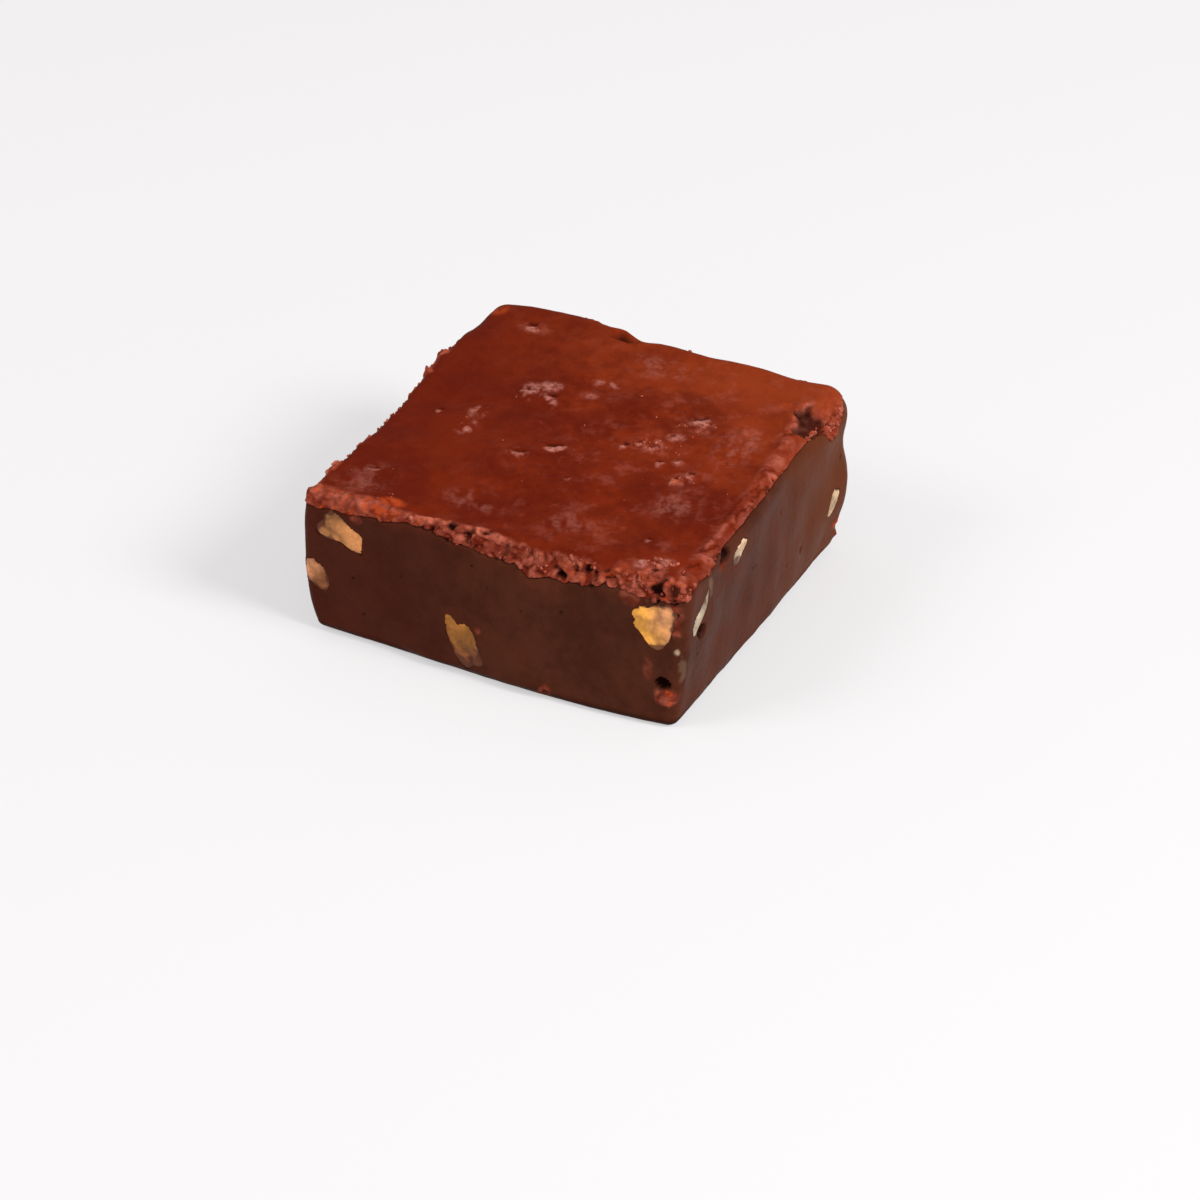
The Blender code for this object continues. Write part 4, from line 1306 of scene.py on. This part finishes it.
# The ridge's crests are painted pinkish: partly dried crust, partly painted sheen.
dried = spread(tree, noise(tree, place, 600.0), 0.35, 0.65, 0.15, 1.0)
ridge_share = arithmetic(tree, "MULTIPLY", mask["ridge"], dried)
colour = mix_colour(tree, ridge_share, colour, CRUST_RIDGE_SHEEN)
torn_values = {"Place": place, "Bright": mask["bright"], "Ember": mask["ember"]}
colour = mix_colour(tree, mask["broken"], colour, use_group(tree, torn_look, torn_values)["Colour"])
# The pale flake colour is partly flake and partly painted sheen.
scaly = spread(tree, noise(tree, place, 1300.0), 0.32, 0.62, 0.25, 1.0)
flake_share = arithmetic(tree, "MULTIPLY", mask["flake"], scaly)
colour = mix_colour(tree, flake_share, colour, PALE_FLAKE_AND_SHEEN)
colour = mix_colour(tree, mask["orange"], colour, CRUMB_ORANGE)
# Painted shade darkens the hollows.
colour = mix_colour(tree, mask["hollow"], colour, HOLLOW_SHADE)
lumpy = arithmetic(tree, "MULTIPLY", noise(tree, place, 650.0, 5.0), 3.0)
height = arithmetic(tree, "ADD", grain["Height"], lumpy)
crust_look = {
    "Base Color": colour,
    "Roughness": spread(tree, tone["Patch"], 0.0, 1.0, 0.52, 0.64),
    "Specular IOR Level": 0.020,
    "Normal": bumped(tree, height, 0.6, 0.00007),
}
fill(tree, shader, crust_look)
crust_mesh.materials.append(crust)
baked_crust = link_object("baked_crust", crust_mesh)
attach(baked_crust, "root")
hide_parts("brownie_body")

# ---------------------------------------------------------------------------------------------------
# The crumbs: grains that the knife rolled up and left stuck along the broken edges, in the torn
# shoulder, round the corner hole and here and there on the top.
# ---------------------------------------------------------------------------------------------------
CRUMB_RINGS = 6
CRUMB_COLUMNS = 10
SIZE_SPREAD = 0.35
TONE_SPREAD = 0.22
# Along the rim: how many, from turn, to turn, from and to share of the crust's height, size, tone.
RIM_CRUMBS = (
    (44, 0.26, 0.99, 0.05, 0.90, 0.30, 0.40),
    (16, 0.84, 1.04, 0.00, 1.00, 0.40, 0.40),
    (60, 3.25, 3.99, -0.02, 0.45, 0.26, 0.55),
    (26, 1.05, 1.60, 0.20, 0.95, 0.22, 0.40),
    (46, 1.72, 1.93, 0.10, 0.70, 0.32, 0.60),
    (22, 2.05, 2.95, 0.35, 0.95, 0.22, 0.40),
)
# On the top: how many, middle, half lengths, size and tone.
TOP_CRUMBS = (
    (26, 12.4, 2.4, 6.0, 2.4, 0.17, 0.65),
    (20, 16.6, 10.8, 4.4, 1.8, 0.17, 0.75),
    (10, 21.4, -5.0, 2.4, 2.6, 0.19, 0.80),
    # The crumbs by the front right corner are pale: partly real crumbs, partly painted glints.
    (14, 29.6, -29.8, 3.6, 1.8, 0.30, 0.95),
    (30, 4.0, -6.0, 30.0, 22.0, 0.12, 0.55),
    (14, -27.0, -28.0, 8.0, 6.0, 0.16, 0.50),
)
rng = np.random.default_rng(11)


def crumb_places():
    """Where the crumbs lie: points on the crust's surface, its normal there, sizes and tones."""
    found = []
    for count, turn_from, turn_to, share_from, share_to, size, tone in RIM_CRUMBS:
        turn = rng.uniform(turn_from, turn_to, count)
        share = np.clip(rng.uniform(share_from, share_to, count), 0.0, 1.0)
        foot_w = 1.0 - 2.0 * crust_drop(turn) / rim_height(turn)
        u, v = perimeter(turn)
        points, normals, _ = crust_surface(u, v, 1.0 - (1.0 - foot_w) * share, foot_w)
        sizes = size * rng.lognormal(0.0, SIZE_SPREAD, count)
        found.append((points, normals, sizes, np.full(count, tone)))
    for count, x, y, half_x, half_y, size, tone in TOP_CRUMBS:
        angle = rng.uniform(0.0, 2.0 * math.pi, count)
        away = np.sqrt(rng.uniform(0.0, 1.0, count))
        u = (x + half_x * away * np.cos(angle)) / HALF[0]
        v = (y + half_y * away * np.sin(angle)) / HALF[1]
        points, normals, _ = crust_surface(np.clip(u, -1, 1), np.clip(v, -1, 1), np.ones(count), -1.0)
        sizes = size * rng.lognormal(0.0, SIZE_SPREAD, count)
        found.append((points, normals, sizes, np.full(count, tone)))
    return (np.concatenate(values) for values in zip(*found))


def strewn_grains(name, centres, normals, sizes, tones):
    """Many closed grains in one mesh: a ball of rings, squashed, turned and lumpy, for each centre.

    A grain's point is its centre plus its size times the ball's point, whose length is 1 plus soft
    lumps read at a place of the grain's own.
    """
    count = len(centres)
    rise = (np.arange(CRUMB_RINGS) + 1.0) * math.pi / (CRUMB_RINGS + 1.0)
    angle = np.arange(CRUMB_COLUMNS) * 2.0 * math.pi / CRUMB_COLUMNS
    ball = np.stack(
        (
            np.outer(np.sin(rise), np.cos(angle)),
            np.outer(np.sin(rise), np.sin(angle)),
            np.outer(-np.cos(rise), np.ones(CRUMB_COLUMNS)),
        ),
        axis=-1,
    )
    ball = np.concatenate((ball.reshape(-1, 3), [(0.0, 0.0, -1.0), (0.0, 0.0, 1.0)]))
    stretch = rng.uniform(0.50, 1.35, (count, 1, 3))
    turned = np.linalg.qr(rng.normal(size=(count, 3, 3)))[0]
    turned = turned * np.sign(np.linalg.det(turned))[:, None, None]
    own_place = rng.uniform(0.0, 900.0, (count, 1, 3))
    lumpy = 1.0 + 0.60 * lumps(ball[None] * 1.5 + own_place, 1.0, 61)
    shape = np.einsum("nij,nkj->nki", turned, ball[None] * stretch * lumpy[..., None])
    lifted = centres + normals * (sizes * rng.uniform(-0.55, 0.15, count))[:, None]
    points = lifted[:, None, :] + shape * sizes[:, None, None]
    points[..., 2] = np.maximum(points[..., 2], 0.02)

    ring = np.arange(CRUMB_RINGS * CRUMB_COLUMNS).reshape(CRUMB_RINGS, CRUMB_COLUMNS)
    beside = np.roll(ring, -1, axis=1)
    quads = np.stack((ring[:-1], beside[:-1], beside[1:], ring[1:]), axis=-1).reshape(-1, 4)
    low = np.full(CRUMB_COLUMNS, ring.size)
    caps = np.concatenate(
        (np.stack((low, beside[0], ring[0]), axis=-1), np.stack((low + 1, ring[-1], beside[-1]), axis=-1))
    )
    first = np.arange(count)[:, None, None] * len(ball)
    mesh = bpy.data.meshes.new(name)
    faces = (quads + first).reshape(-1, 4).tolist() + (caps + first).reshape(-1, 3).tolist()
    mesh.from_pydata((points.reshape(-1, 3) * MM).tolist(), [], faces)
    mesh.shade_smooth()
    spread_tones = np.clip(tones + rng.normal(0.0, TONE_SPREAD, count), 0.0, 1.0)
    give_values(mesh, "tone", np.repeat(spread_tones, len(ball)))
    give_values(mesh, "ember", np.repeat(rng.uniform(0.0, 1.0, count) ** 3, len(ball)))
    return link_object(name, mesh)


crumbs = strewn_grains("crumbs", *crumb_places())
crumb, tree, shader = new_material("loose_crumb")
place = object_place(tree)
grain = use_group(tree, crumb_grain, {"Place": place, "Grain Scale": 2600.0})
torn_values = {"Place": place, "Bright": vertex_value(tree, "tone"), "Ember": vertex_value(tree, "ember")}
colour = use_group(tree, torn_look, torn_values)["Colour"]
normal = bumped(tree, grain["Height"], 0.5, 0.00005)
fill(tree, shader, {"Base Color": colour, "Roughness": 0.48, "Specular IOR Level": 0.08, "Normal": normal})
crumbs.data.materials.append(crumb)
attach(crumbs, "root")
